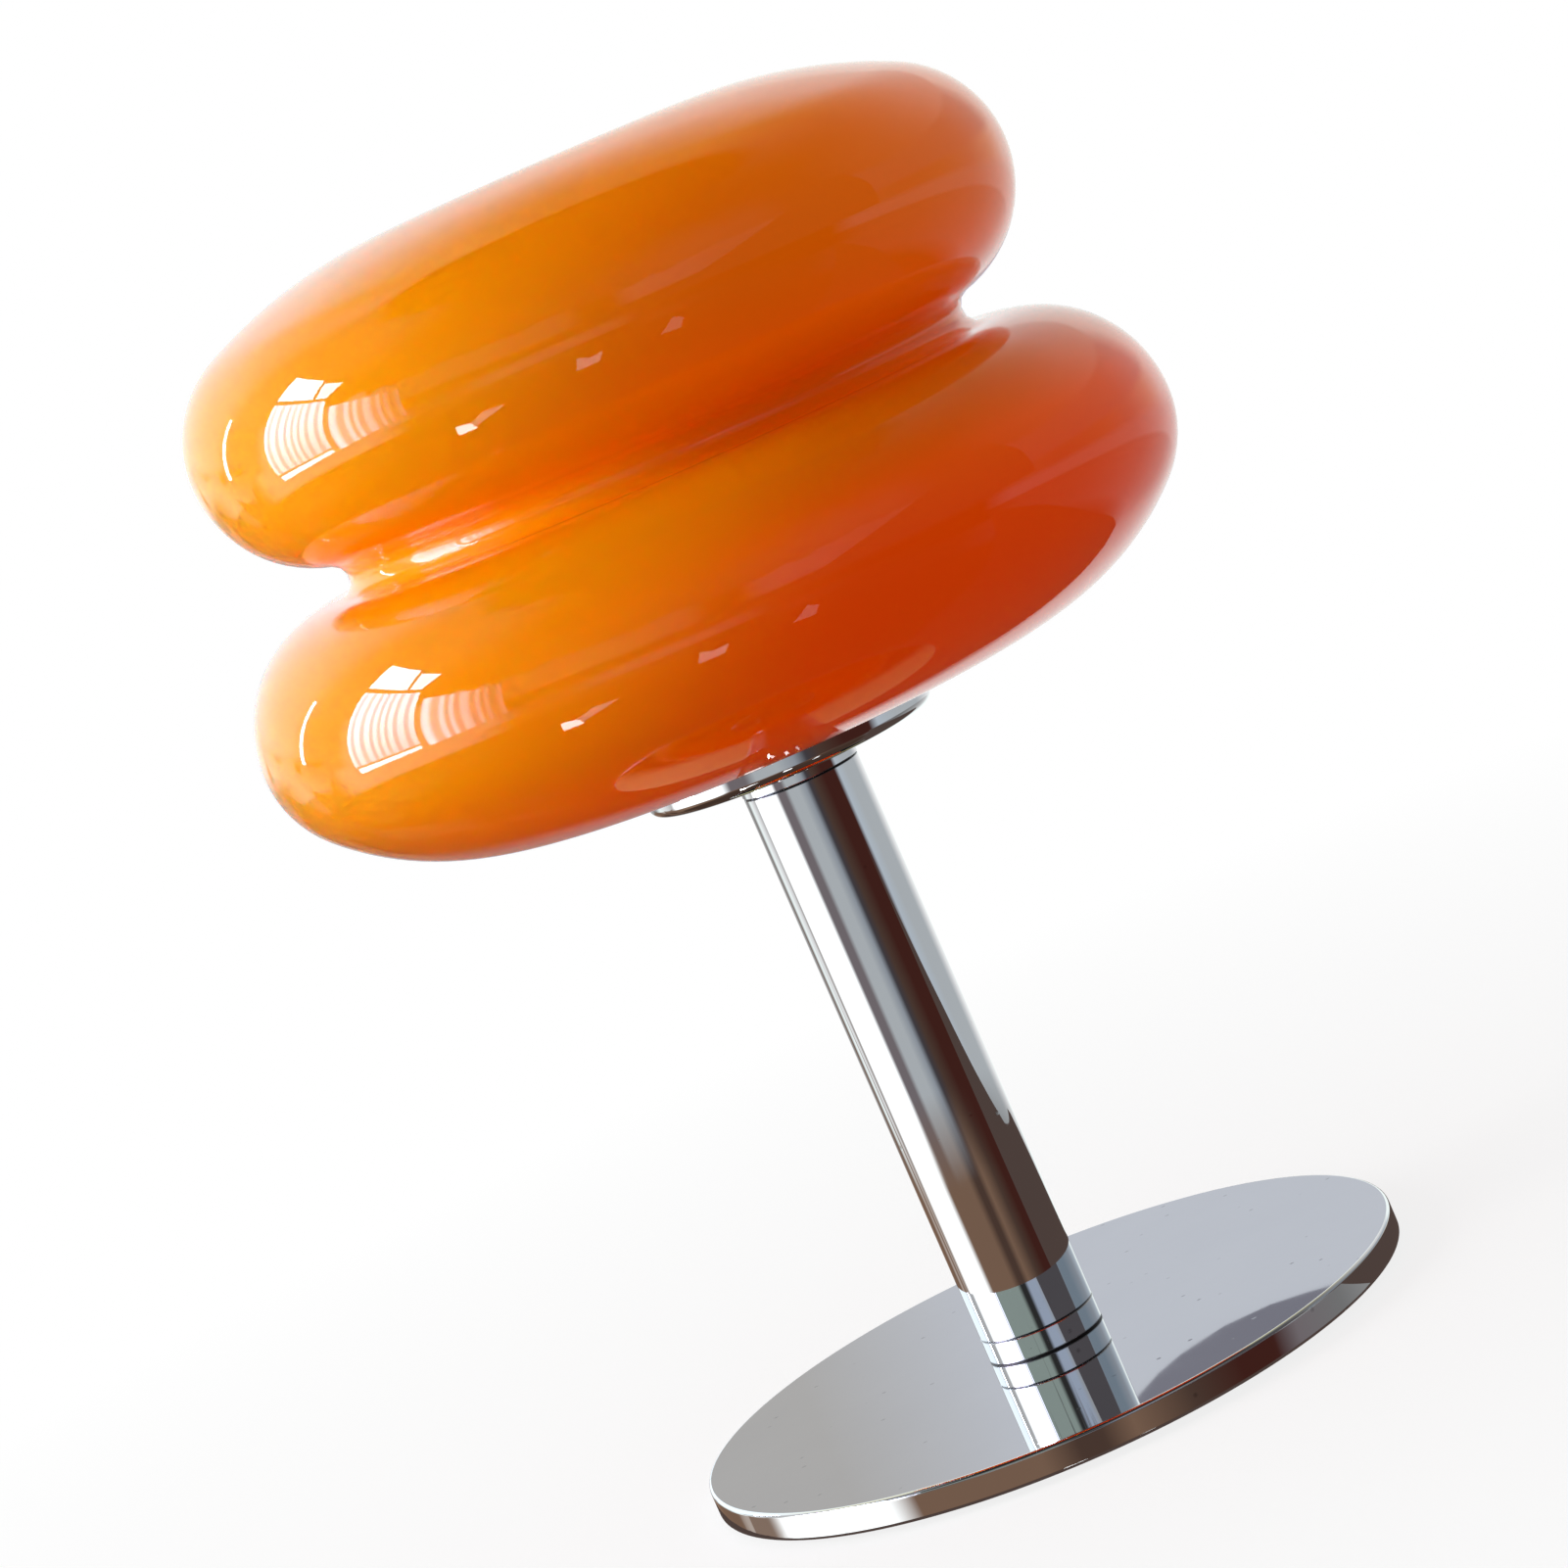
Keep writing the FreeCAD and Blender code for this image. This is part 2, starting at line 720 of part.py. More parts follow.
def make_holder_shell():
    """Brass shell that the bulb's cap screws into, turned in at its foot."""
    outside = f"{SHELL_RADIUS} + shell_wall"
    top = f"{HOLDER_TOP} - shell_below_mouth"
    floor_top = f"{INSULATOR_TOP} + shell_wall"
    return turn("holder_shell", [
        ("shell_floor_hole / 2", INSULATOR_TOP),
        (outside, INSULATOR_TOP),
        (outside, top),
        (SHELL_RADIUS, top),
        (SHELL_RADIUS, floor_top),
        ("shell_floor_hole / 2", floor_top),
    ])


def make_holder_contact():
    """Brass tongue, bent up from its foot to meet the bulb's tip."""
    heel = "shell_floor_hole / 2 - contact_thickness"
    toe = f"{heel} - contact_foot"
    tip_top = f"{INSULATOR_TOP} + contact_rise"
    foot_top = f"{INSULATOR_TOP} + contact_thickness"
    body = new_body("holder_contact")
    section = new_sketch(body, "section", "XZ_Plane")
    draw_outline(section, [
        (f"{toe} - contact_thickness", INSULATOR_TOP),
        (heel, INSULATOR_TOP),
        (heel, foot_top),
        (toe, foot_top),
        ("contact_tip", tip_top),
        ("0", tip_top),
        ("0", f"{tip_top} - contact_thickness"),
        ("contact_tip - contact_thickness", f"{tip_top} - contact_thickness"),
    ])
    pad(body, section, "contact_width", both_ways=True)
    return body


# Inner wiring

def draw_swerve(sketch, run, target):
    """S-bend of two equal arcs from the foot of a vertical run to the line of the next run.

    Gives the last arc, the end of it where the next run starts, and that end's height.
    """
    bend = number("lead_bend_radius")
    foot = sketch.Geometry[run].EndPoint
    angle = math.acos(1 - abs(target - foot.x) / (2 * bend))
    low = foot.y - 2 * bend * math.sin(angle)
    if target < foot.x:
        first = add_arc(sketch, FreeCAD.Vector(foot.x - bend, foot.y), bend, -angle, 0)
        second = add_arc(sketch, FreeCAD.Vector(target + bend, low), bend, math.pi - angle, math.pi)
        run_end, middle = END, START
    else:
        first = add_arc(sketch, FreeCAD.Vector(foot.x + bend, foot.y), bend, math.pi, math.pi + angle)
        second = add_arc(sketch, FreeCAD.Vector(target - bend, low), bend, 0, angle)
        run_end, middle = START, END
    join(sketch, "Tangent", run, END, first, run_end)
    join(sketch, "Tangent", first, middle, second, middle)
    for arc in (first, second):
        set_radius(sketch, arc, "lead_bend_radius")
    return second, run_end, low


def make_lead(label, angle):
    """Insulated core: down from the holder, close to its twin in the nipple, then to the splice."""
    top = CAP_TOP
    runs = [
        ("lead_spread_holder", f"{INSULATOR_LOW} - lead_tail"),
        ("lead_spread_nipple", f"{STEM_TOP} - spigot_length - lead_tail"),
        ("lead_spread_splice", f"{SPLICE_TOP} - splice_entry_depth"),
    ]
    body = new_body(label)
    spine = new_sketch(body, "spine", "XZ_Plane")
    start_height = number(top)
    before = None
    for spread, foot in runs:
        across = number(spread)
        if before is not None:
            arc, arc_end, start_height = draw_swerve(spine, before, across)
        run = add_line(spine, FreeCAD.Vector(across, start_height), FreeCAD.Vector(across, number(foot)))
        if before is None:
            place_y(spine, run, START, top)
        else:
            join(spine, "Tangent", arc, arc_end, run, START)
        place_x(spine, run, END, spread)
        place_y(spine, run, END, foot)
        spine.addConstraint(Sketcher.Constraint("Vertical", run))
        before = run
    section = new_sketch(body, "section", "XY_Plane", height=top)
    draw_circle(section, "lead_spread_holder", "0", "lead_diameter / 2")
    doc.recompute()
    pipe = body.newObject("PartDesign::AdditivePipe", f"{label}_pipe")
    pipe.Profile = section
    pipe.Spine = (spine, [f"Edge{edge}" for edge in range(1, spine.GeometryCount + 1)])
    doc.recompute()
    body.Placement = turned_about_axis(angle)
    return body


def make_splice_block():
    """Two-way connector in the stem: the leads enter from above, the cord's cores from below."""
    block = doc.addObject("Part::Box", "splice_body")
    bind(block, Length="splice_width", Width="splice_depth", Height="splice_height",
         Placement__Base__x="-splice_width / 2", Placement__Base__y="-splice_depth / 2",
         Placement__Base__z=SPLICE_LOW)
    doc.recompute()
    rounded = doc.addObject("Part::Fillet", "splice_rounded")
    rounded.Base = block
    radius = number("splice_edge_radius")
    rounded.Edges = [(edge, radius, radius) for edge in range(1, len(block.Shape.Edges) + 1)]
    lead_entry = "lead_diameter / 2 + fit_clearance"
    core_entry = "splice_entry_diameter / 2"
    lead_end = f"({SPLICE_TOP} - splice_entry_depth)"
    core_end = f"({SPLICE_LOW} + splice_entry_depth)"
    holes = []
    for side, spread in (("left", "-lead_spread_splice"), ("right", "lead_spread_splice")):
        upper = cylinder(f"splice_lead_{side}", lead_entry, lead_end, SPLICE_TOP)
        lower = cylinder(f"splice_core_{side}", core_entry, SPLICE_LOW, core_end)
        for hole in (upper, lower):
            bind(hole, Placement__Base__x=spread)
            holes.append(hole)
    entries = doc.addObject("Part::MultiFuse", "splice_entries")
    entries.Shapes = holes
    return subtract("splice_block", rounded, entries)


# Bulb

def make_bulb_contact():
    radius = "bulb_contact_diameter / 2"
    return turn("bulb_contact", [
        ("0", BULB_LOW),
        (radius, BULB_LOW),
        (radius, f"{BULB_LOW} + bulb_contact_height"),
        ("0", f"{BULB_LOW} + bulb_contact_height"),
    ])


def make_bulb_insulator():
    """Glass cone between the centre contact and the screw cap, with a plug up inside the cap."""
    low = f"{BULB_LOW} + bulb_contact_height"
    plug = "bulb_cap_mouth / 2 - fit_clearance"
    return turn("bulb_insulator", [
        ("0", low),
        ("bulb_contact_diameter / 2", low),
        ("bulb_cap_mouth / 2", BULB_CAP_LOW),
        (plug, BULB_CAP_LOW),
        (plug, f"{BULB_CAP_LOW} + bulb_insulator_height"),
        ("0", f"{BULB_CAP_LOW} + bulb_insulator_height"),
    ])


def make_bulb_screw_cap():
    """Thin metal cup with its foot turned in round the insulator."""
    outside = "bulb_cap_diameter / 2"
    inside = f"{outside} - bulb_cap_wall"
    foot = "bulb_cap_mouth / 2"
    shoulder = f"{BULB_CAP_LOW} + {outside} - {foot}"
    return turn("bulb_screw_cap", [
        (foot, BULB_CAP_LOW),
        (outside, shoulder),
        (outside, BULB_CAP_TOP),
        (inside, BULB_CAP_TOP),
        (inside, shoulder),
        (foot, f"{BULB_CAP_LOW} + bulb_cap_wall"),
    ])


def make_bulb_collar():
    """Moulded body between the cap and the globe: a plug, a straight band and a flared cup."""
    plug = "bulb_cap_diameter / 2 - bulb_cap_wall - fit_clearance"
    lower = "bulb_collar_lower_diameter / 2"
    upper = "bulb_globe_neck / 2"
    plug_low = f"{BULB_CAP_TOP} - bulb_cap_height / 2"
    return turn("bulb_collar", [
        ("0", plug_low),
        (plug, plug_low),
        (plug, BULB_CAP_TOP),
        (lower, BULB_CAP_TOP),
        (lower, f"{BULB_CAP_TOP} + bulb_collar_band"),
        (upper, f"{BULB_NECK} - bulb_collar_rim"),
        (upper, BULB_NECK),
        ("0", BULB_NECK),
    ])


def make_bulb_globe():
    """Opal globe, open at its neck, where it stands on the collar."""
    outer = "bulb_globe_diameter / 2"
    inner = f"{outer} - bulb_globe_wall"
    neck = "bulb_globe_neck / 2"
    centre = f"{BULB_NECK} + sqrt(pow({outer}; 2) - pow({neck}; 2))"
    middle = FreeCAD.Vector(0, number(centre))
    drop = middle.y - number(BULB_NECK)
    body = new_body("bulb_globe")
    sketch = new_sketch(body, "section", "XZ_Plane")
    outer_arc, inner_arc = [
        add_arc(sketch, middle, number(radius), -math.asin(drop / number(radius)), math.pi / 2)
        for radius in (outer, inner)]
    outside = sketch.Geometry[outer_arc]
    inside = sketch.Geometry[inner_arc]
    crown = add_line(sketch, outside.EndPoint, inside.EndPoint)
    rim = add_line(sketch, inside.StartPoint, outside.StartPoint)
    join(sketch, "Coincident", outer_arc, END, crown, START)
    join(sketch, "Coincident", inner_arc, END, crown, END)
    join(sketch, "Coincident", inner_arc, START, rim, START)
    join(sketch, "Coincident", outer_arc, START, rim, END)
    join(sketch, "Coincident", inner_arc, CENTRE, outer_arc, CENTRE)
    place_x(sketch, crown, START, "0")
    place_x(sketch, crown, END, "0")
    place_x(sketch, outer_arc, CENTRE, "0")
    place_y(sketch, outer_arc, CENTRE, centre)
    place_y(sketch, rim, END, BULB_NECK)
    sketch.addConstraint(Sketcher.Constraint("Horizontal", rim))
    set_radius(sketch, outer_arc, outer)
    set_radius(sketch, inner_arc, inner)
    revolve(body, sketch)
    return body


# Glass shade: each lobe's side is two arcs that meet at its widest circle; the inner ones run
# tangent into the waist's fillet, the outer ones into the wide arcs of crown and underside

LOWER_WIDEST = f"({GLASS_LOW} + under_belly + lower_side_radius)"
WAIST = f"({LOWER_WIDEST} + lower_to_waist)"
UPPER_WIDEST = f"({WAIST} + waist_to_upper)"
GLASS_TOP = f"({UPPER_WIDEST} + upper_side_radius + crown_rise)"


def wide_arc(corner, side_centre, side_radius):
    """Arc that leaves a flat at its corner and runs tangent into a side arc: centre and radius."""
    reach = side_centre.x - corner.x
    rise = abs(side_centre.y - corner.y)
    radius = (reach ** 2 + rise ** 2 - side_radius ** 2) / (2 * (rise - side_radius))
    inwards = 1 if corner.y < side_centre.y else -1
    return FreeCAD.Vector(corner.x, corner.y + inwards * radius), radius


def waist_side_arc(widest, height, waist_centre, waist_side):
    """Arc from a lobe's widest circle that runs tangent into the waist's fillet: centre and radius."""
    reach = widest - waist_centre.x
    rise = height - waist_centre.y
    radius = (reach ** 2 + rise ** 2 - waist_side ** 2) / (2 * (reach + waist_side))
    return FreeCAD.Vector(widest - radius, height), radius


def direction(start, end):
    return math.atan2(end.y - start.y, end.x - start.x)


def draw_lobes(sketch, inset, foot_corners):
    """Section of the shade from its axis out, round both lobes and back, inset from its outside."""
    top = f"({GLASS_TOP} - {inset})"
    bottom = f"({GLASS_LOW} + {inset})"
    crown_flat = "crown_flat_diameter / 2"
    under_flat = "under_flat_diameter / 2"
    upper = f"(upper_lobe_diameter / 2 - {inset})"
    lower = f"(lower_lobe_diameter / 2 - {inset})"
    upper_side = f"(upper_side_radius - {inset})"
    lower_side = f"(lower_side_radius - {inset})"
    waist_middle = "waist_diameter / 2 + waist_radius"
    waist_side = f"(waist_radius + {inset})"

    axis_point = FreeCAD.Vector(0, number(top))
    crown_corner = FreeCAD.Vector(number(crown_flat), number(top))
    under_corner = FreeCAD.Vector(number(under_flat), number(bottom))
    upper_centre = FreeCAD.Vector(number(f"{upper} - {upper_side}"), number(UPPER_WIDEST))
    lower_centre = FreeCAD.Vector(number(f"{lower} - {lower_side}"), number(LOWER_WIDEST))
    waist_centre = FreeCAD.Vector(number(waist_middle), number(WAIST))
    crown, crown_radius = wide_arc(crown_corner, upper_centre, number(upper_side))
    under, under_radius = wide_arc(under_corner, lower_centre, number(lower_side))
    over, over_radius = waist_side_arc(number(upper), upper_centre.y, waist_centre, number(waist_side))
    below, below_radius = waist_side_arc(number(lower), lower_centre.y, waist_centre, number(waist_side))
    to_upper = direction(crown, upper_centre)
    to_lower = direction(under, lower_centre)
    from_upper = direction(over, waist_centre)
    from_lower = direction(below, waist_centre)

    flat = add_line(sketch, axis_point, crown_corner)
    crown_arc = add_arc(sketch, crown, crown_radius, to_upper, math.pi / 2)
    upper_arc = add_arc(sketch, upper_centre, number(upper_side), 0, to_upper)
    over_arc = add_arc(sketch, over, over_radius, from_upper, 0)
    waist_arc = add_arc(sketch, waist_centre, number(waist_side),
                        math.pi + from_upper, math.pi + from_lower)
    below_arc = add_arc(sketch, below, below_radius, 0, from_lower)
    lower_arc = add_arc(sketch, lower_centre, number(lower_side), to_lower, 0)
    under_arc = add_arc(sketch, under, under_radius, -math.pi / 2, to_lower)

    join(sketch, "Tangent", flat, END, crown_arc, END)
    join(sketch, "Tangent", crown_arc, START, upper_arc, END)
    join(sketch, "Tangent", upper_arc, START, over_arc, END)
    join(sketch, "Tangent", over_arc, START, waist_arc, START)
    join(sketch, "Tangent", waist_arc, END, below_arc, END)
    join(sketch, "Tangent", below_arc, START, lower_arc, END)
    join(sketch, "Tangent", lower_arc, START, under_arc, END)

    place_x(sketch, flat, START, "0")
    place_y(sketch, flat, START, top)
    place_x(sketch, flat, END, crown_flat)
    place_y(sketch, flat, END, top)
    place_x(sketch, upper_arc, START, upper)
    place_y(sketch, upper_arc, START, UPPER_WIDEST)
    place_y(sketch, upper_arc, CENTRE, UPPER_WIDEST)
    set_radius(sketch, upper_arc, upper_side)
    place_x(sketch, waist_arc, CENTRE, waist_middle)
    place_y(sketch, waist_arc, CENTRE, WAIST)
    set_radius(sketch, waist_arc, waist_side)
    place_x(sketch, lower_arc, END, lower)
    place_y(sketch, lower_arc, END, LOWER_WIDEST)
    place_y(sketch, lower_arc, CENTRE, LOWER_WIDEST)
    set_radius(sketch, lower_arc, lower_side)
    place_x(sketch, under_arc, START, under_flat)
    place_y(sketch, under_arc, START, bottom)

    before = under_arc
    before_end = START
    meeting = "Tangent"
    corner = under_corner
    for across, up in foot_corners:
        following = FreeCAD.Vector(number(across), number(up))
        line = add_line(sketch, corner, following)
        join(sketch, meeting, before, before_end, line, START)
        place_x(sketch, line, END, across)
        place_y(sketch, line, END, up)
        before = line
        before_end = END
        meeting = "Coincident"
        corner = following
    closing = add_line(sketch, corner, axis_point)
    join(sketch, "Coincident", before, before_end, closing, START)
    join(sketch, "Coincident", closing, END, flat, START)


def make_glass_shade():
    """Blown glass with a closed crown: the outside is turned, then the hollow and the neck's hole."""
    body = new_body("glass_shade")
    outside = new_sketch(body, "outside", "XZ_Plane")
    draw_lobes(outside, "0", [("0", GLASS_LOW)])
    revolve(body, outside)
    solid = body.Shape.Volume
    inside = new_sketch(body, "inside", "XZ_Plane")
    floor = f"{GLASS_LOW} + glass_wall"
    below = f"{GLASS_LOW} - glass_wall"
    draw_lobes(inside, "glass_wall", [(NECK_RADIUS, floor), (NECK_RADIUS, below), ("0", below)])
    revolve(body, inside, kind="PartDesign::Groove")
    if body.Shape.Volume >= solid:
        raise RuntimeError("the shade's hollow cuts nothing")
    return body


# All sub-parts, checked and written

parts = [
    make_base_pad(), make_base_plate(), make_base_washer(), make_base_screw(),
    make_foot_collar(), make_stem_tube(), make_cord_grommet(), make_top_collar(),
    make_gallery_plate(), make_gallery_gasket(), make_clip_screws(),
    make_nipple(), make_lock_washer(), make_lock_nut(),
    make_holder_cap(), make_holder_body(), make_holder_insulator(), make_holder_shell(),
    make_holder_contact(), make_lead("lead_live", 0), make_lead("lead_neutral", 180),
    make_splice_block(),
    make_bulb_contact(), make_bulb_insulator(), make_bulb_screw_cap(), make_bulb_collar(),
    make_bulb_globe(), make_glass_shade(),
]
for step, angle in enumerate(clip_angles(), start=1):
    parts.append(make_glass_clip(f"glass_clip_{step}", angle))
doc.recompute()

for item in doc.Objects:
    if "Invalid" in item.State or "Error" in item.State:
        raise RuntimeError(f"{item.Label} failed: {item.State}")
for part in parts:
    if part.Shape.isNull() or not part.Shape.isValid():
        raise RuntimeError(f"{part.Label} has no valid shape")

os.makedirs("parts", exist_ok=True)
for part in parts:
    part.Shape.exportStep(f"parts/{part.Label}.step")
    print(part.Label, len(part.Shape.Solids), round(part.Shape.Volume, 1))
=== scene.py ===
# %% [markdown]
# # A bedside lamp with a blown-glass shade
# The lamp is a chromed disc, a tube, a small dish and, on top, one piece of orange glass blown
# into two round lobes. The CAD model gives every piece its place and size, so it is loaded first
# and stays as it is. Blender gives the pieces that a mirror finish would betray a finer mesh, and
# every surface its finish.

# %% Load the fixed frame
import json
import math

import bmesh
import bpy
from mathutils import Matrix, Vector


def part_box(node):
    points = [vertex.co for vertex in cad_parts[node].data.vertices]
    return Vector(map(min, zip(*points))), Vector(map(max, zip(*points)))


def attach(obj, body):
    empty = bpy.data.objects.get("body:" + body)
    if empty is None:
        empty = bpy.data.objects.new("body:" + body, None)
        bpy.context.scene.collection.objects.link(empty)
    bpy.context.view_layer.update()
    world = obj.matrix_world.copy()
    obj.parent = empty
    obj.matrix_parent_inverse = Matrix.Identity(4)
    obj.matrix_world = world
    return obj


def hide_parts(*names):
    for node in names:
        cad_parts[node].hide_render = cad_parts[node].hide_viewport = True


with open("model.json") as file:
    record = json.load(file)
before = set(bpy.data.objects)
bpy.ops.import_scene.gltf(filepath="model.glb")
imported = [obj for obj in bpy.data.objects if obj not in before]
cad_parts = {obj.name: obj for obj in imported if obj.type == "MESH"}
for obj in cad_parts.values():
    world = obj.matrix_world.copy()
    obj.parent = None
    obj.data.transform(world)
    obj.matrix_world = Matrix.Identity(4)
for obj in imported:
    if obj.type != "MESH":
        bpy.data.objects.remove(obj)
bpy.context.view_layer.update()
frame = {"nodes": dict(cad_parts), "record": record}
scene = bpy.context.scene
MM = 0.001

# %% [markdown]
# ## Camera
# The photograph was taken from close by, a little above the lamp's middle, with the camera turned
# about its own axis, so that the lamp leans to the left. A camera in Blender looks along its
# own -Z with +Y up, so its matrix is built from three directions, and the turn mixes the right
# and the up direction.

# %% Camera at the photograph's viewing angle
PHOTO_SIDE = 1601
FOCAL_PIXELS = 4767
SENSOR_WIDTH = 36.0
CAMERA_PLACE = Vector((-3.75, -941.0, 251.2)) * MM
CAMERA_PITCH = math.radians(7.05)
CAMERA_ROLL = math.radians(23.6)

level_right = Vector((1, 0, 0))
ahead = Vector((0, math.cos(CAMERA_PITCH), -math.sin(CAMERA_PITCH)))
level_up = level_right.cross(ahead)
camera_up = level_up * math.cos(CAMERA_ROLL) + level_right * math.sin(CAMERA_ROLL)
camera_right = ahead.cross(camera_up)

camera_data = bpy.data.cameras.new("photo_camera")
camera_data.sensor_fit = "HORIZONTAL"
camera_data.sensor_width = SENSOR_WIDTH
camera_data.lens = SENSOR_WIDTH * FOCAL_PIXELS / PHOTO_SIDE
camera_data.clip_start = 0.01
camera = bpy.data.objects.new("photo_camera", camera_data)
turn = Matrix((camera_right, camera_up, -ahead)).transposed()
camera.matrix_world = Matrix.Translation(CAMERA_PLACE) @ turn.to_4x4()
scene.collection.objects.link(camera)
scene.camera = camera
print("lens", round(camera_data.lens, 1), "mm, turned by", round(math.degrees(CAMERA_ROLL), 1), "degrees")

# %% [markdown]
# ## Turned pieces
# Nearly everything here is round, as from a lathe or a glassblower's pipe. Such a piece is half a
# section spun about the lamp's axis. The section itself is drawn with the same operators: a point
# is extruded to make a line, and spun about an arc's centre to make an arc, so no list of points
# has to be worked out.

# %% Lines and arcs of a section
FACET = 2.2 * MM


def begin(bm, radius, height):
    """First point of a section, in the plane of X and Z."""
    return bm.verts.new((radius, 0, height))


def line(bm, tip, radius, height):
    """Straight line from the tip to a radius and height; gives the new tip."""
    new = bmesh.ops.extrude_vert_indiv(bm, verts=[tip])["verts"][0]
    new.co = (radius, 0, height)
    return new


def arc(bm, tip, centre, angle):
    """Arc from the tip about a centre, clockwise where the angle is positive; gives the new tip."""
    reach = (tip.co - Vector((centre[0], 0, centre[1]))).length
    steps = max(3, round(abs(angle) * reach / FACET))
    made = bmesh.ops.spin(bm, geom=[tip], cent=(centre[0], 0, centre[1]), axis=(0, 1, 0),
                          angle=angle, steps=steps, use_duplicate=False)
    return next(item for item in made["geom_last"] if isinstance(item, bmesh.types.BMVert))


# %% Full turn, hoops and rounded edges
AROUND = 160
SHARP = math.radians(25)
TOUCHING = 0.001 * MM
SAME_PLACE = 0.01 * MM


def full_turn(bm, around=AROUND):
    """Spin the whole section once round the lamp's axis, then close its seam and poles."""
    bmesh.ops.spin(bm, geom=bm.verts[:] + bm.edges[:], cent=(0, 0, 0), axis=(0, 0, 1),
                   angle=math.tau, steps=around, use_merge=True, use_duplicate=False)
    bmesh.ops.remove_doubles(bm, verts=bm.verts, dist=TOUCHING)
    bmesh.ops.recalc_face_normals(bm, faces=bm.faces)


def turned(corners, around=AROUND):
    """Closed section of straight lines, from pairs of radius and height, spun all the way round."""
    bm = bmesh.new()
    first = begin(bm, *corners[0])
    tip = first
    for radius, height in corners[1:]:
        tip = line(bm, tip, radius, height)
    bm.edges.new((tip, first))
    full_turn(bm, around)
    return bm


def hoops(bm, radius, *heights):
    """Edges of the hoops at this radius and these heights."""
    def on_hoop(vert, height):
        return abs(vert.co.xy.length - radius) < SAME_PLACE and abs(vert.co.z - height) < SAME_PLACE
    return [edge for height in heights for edge in bm.edges
            if all(on_hoop(vert, height) for vert in edge.verts)]


def round_edges(bm, edges, size, segments=4):
    """Bevel the edges to a round of this size."""
    bmesh.ops.bevel(bm, geom=edges, offset=size, offset_type="OFFSET", affect="EDGES",
                    segments=segments, profile=0.5, material=-1, clamp_overlap=True)


def sharp_edges(bm):
    """Edges where the surface bends sharply, which on a turned piece are its hoops."""
    return [edge for edge in bm.edges if edge.is_manifold and edge.calc_face_angle() > SHARP]


# %% Object for a finished piece
FLAT_WEIGHT = 80
SLOT_OF = {part["node"]: part["material_slot"] for part in frame["record"]["subparts"]}
made_for = {}
print("material slots", len(set(SLOT_OF.values())), "on", len(SLOT_OF), "nodes")


def new_object(bm, name):
    """Object with the bmesh as its mesh."""
    mesh = bpy.data.meshes.new(name)
    bm.to_mesh(mesh)
    bm.free()
    made = bpy.data.objects.new(name, mesh)
    scene.collection.objects.link(made)
    return made


def finish_piece(bm, name, body, node):
    """Turn the bmesh into an object that rides on a body and stands for a CAD node."""
    piece = new_object(bm, name)
    piece.data.shade_smooth()
    weighted = piece.modifiers.new("flat faces stay flat", "WEIGHTED_NORMAL")
    weighted.weight = FLAT_WEIGHT
    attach(piece, body)
    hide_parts(node)
    made_for[node] = piece
    print(name, len(piece.data.polygons), "faces")
    return piece


# %% [markdown]
# ## Glass shade
# The shade was blown into a mould: two fat lobes, a tight waist, a nearly flat crown and underside.
# Every bend runs smoothly into the next, because any kink would break the reflections. So the
# section is a chain of arcs that meet at a common tangent: where two arcs touch, their centres and
# the touching point lie on one line, and that fixes each unknown radius.

# %% Lengths of the shade and the centres of its arcs
WALL = 3.0 * MM
NECK_RADIUS = 25.0 * MM
UNDER_FLAT = 54.0 * MM
LOWER_SIDE = 22.6 * MM
UNDER_BELLY = 9.4 * MM
LOWER_TO_WAIST = 30.5 * MM
WAIST_RADIUS = 67.1 * MM
WAIST_FILLET = 3.6 * MM
WAIST_TO_UPPER = 28.1 * MM
UPPER_LOBE = 88.5 * MM
UPPER_SIDE = 24.6 * MM
CROWN_FLAT = 31.75 * MM
NECK_EDGE = 0.8 * MM
QUARTER = math.pi / 2

shade_low, shade_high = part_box("glass_shade")
LOWER_LOBE = shade_high.x


def compass(start, end):
    """Direction from one point of the section to another, clockwise from straight up."""
    return math.atan2(end[0] - start[0], end[1] - start[1])


def wide_arc(flat, flat_height, side_centre, side_radius):
    """Centre of the arc that leaves a flat's edge and runs tangent into a side arc."""
    reach = side_centre[0] - flat
    rise = abs(side_centre[1] - flat_height)
    radius = (reach ** 2 + rise ** 2 - side_radius ** 2) / (2 * (rise - side_radius))
    inwards = 1 if flat_height < side_centre[1] else -1
    return flat, flat_height + inwards * radius


def waist_side(widest, height, waist_centre):
    """Centre of the arc from a lobe's widest hoop that runs tangent into the waist's fillet."""
    reach = widest - waist_centre[0]
    rise = height - waist_centre[1]
    radius = (reach ** 2 + rise ** 2 - WAIST_FILLET ** 2) / (2 * (reach + WAIST_FILLET))
    return widest - radius, height


lower_height = shade_low.z + UNDER_BELLY + LOWER_SIDE
waist_height = lower_height + LOWER_TO_WAIST
upper_height = waist_height + WAIST_TO_UPPER
upper_centre = (UPPER_LOBE - UPPER_SIDE, upper_height)
lower_centre = (LOWER_LOBE - LOWER_SIDE, lower_height)
waist_centre = (WAIST_RADIUS + WAIST_FILLET, waist_height)
crown_centre = wide_arc(CROWN_FLAT, shade_high.z, upper_centre, UPPER_SIDE)
under_centre = wide_arc(UNDER_FLAT, shade_low.z, lower_centre, LOWER_SIDE)
over_centre = waist_side(UPPER_LOBE, upper_height, waist_centre)
below_centre = waist_side(LOWER_LOBE, lower_height, waist_centre)
print("heights of lower lobe, waist and upper lobe in mm",
      [round(level / MM, 1) for level in (lower_height, waist_height, upper_height)])

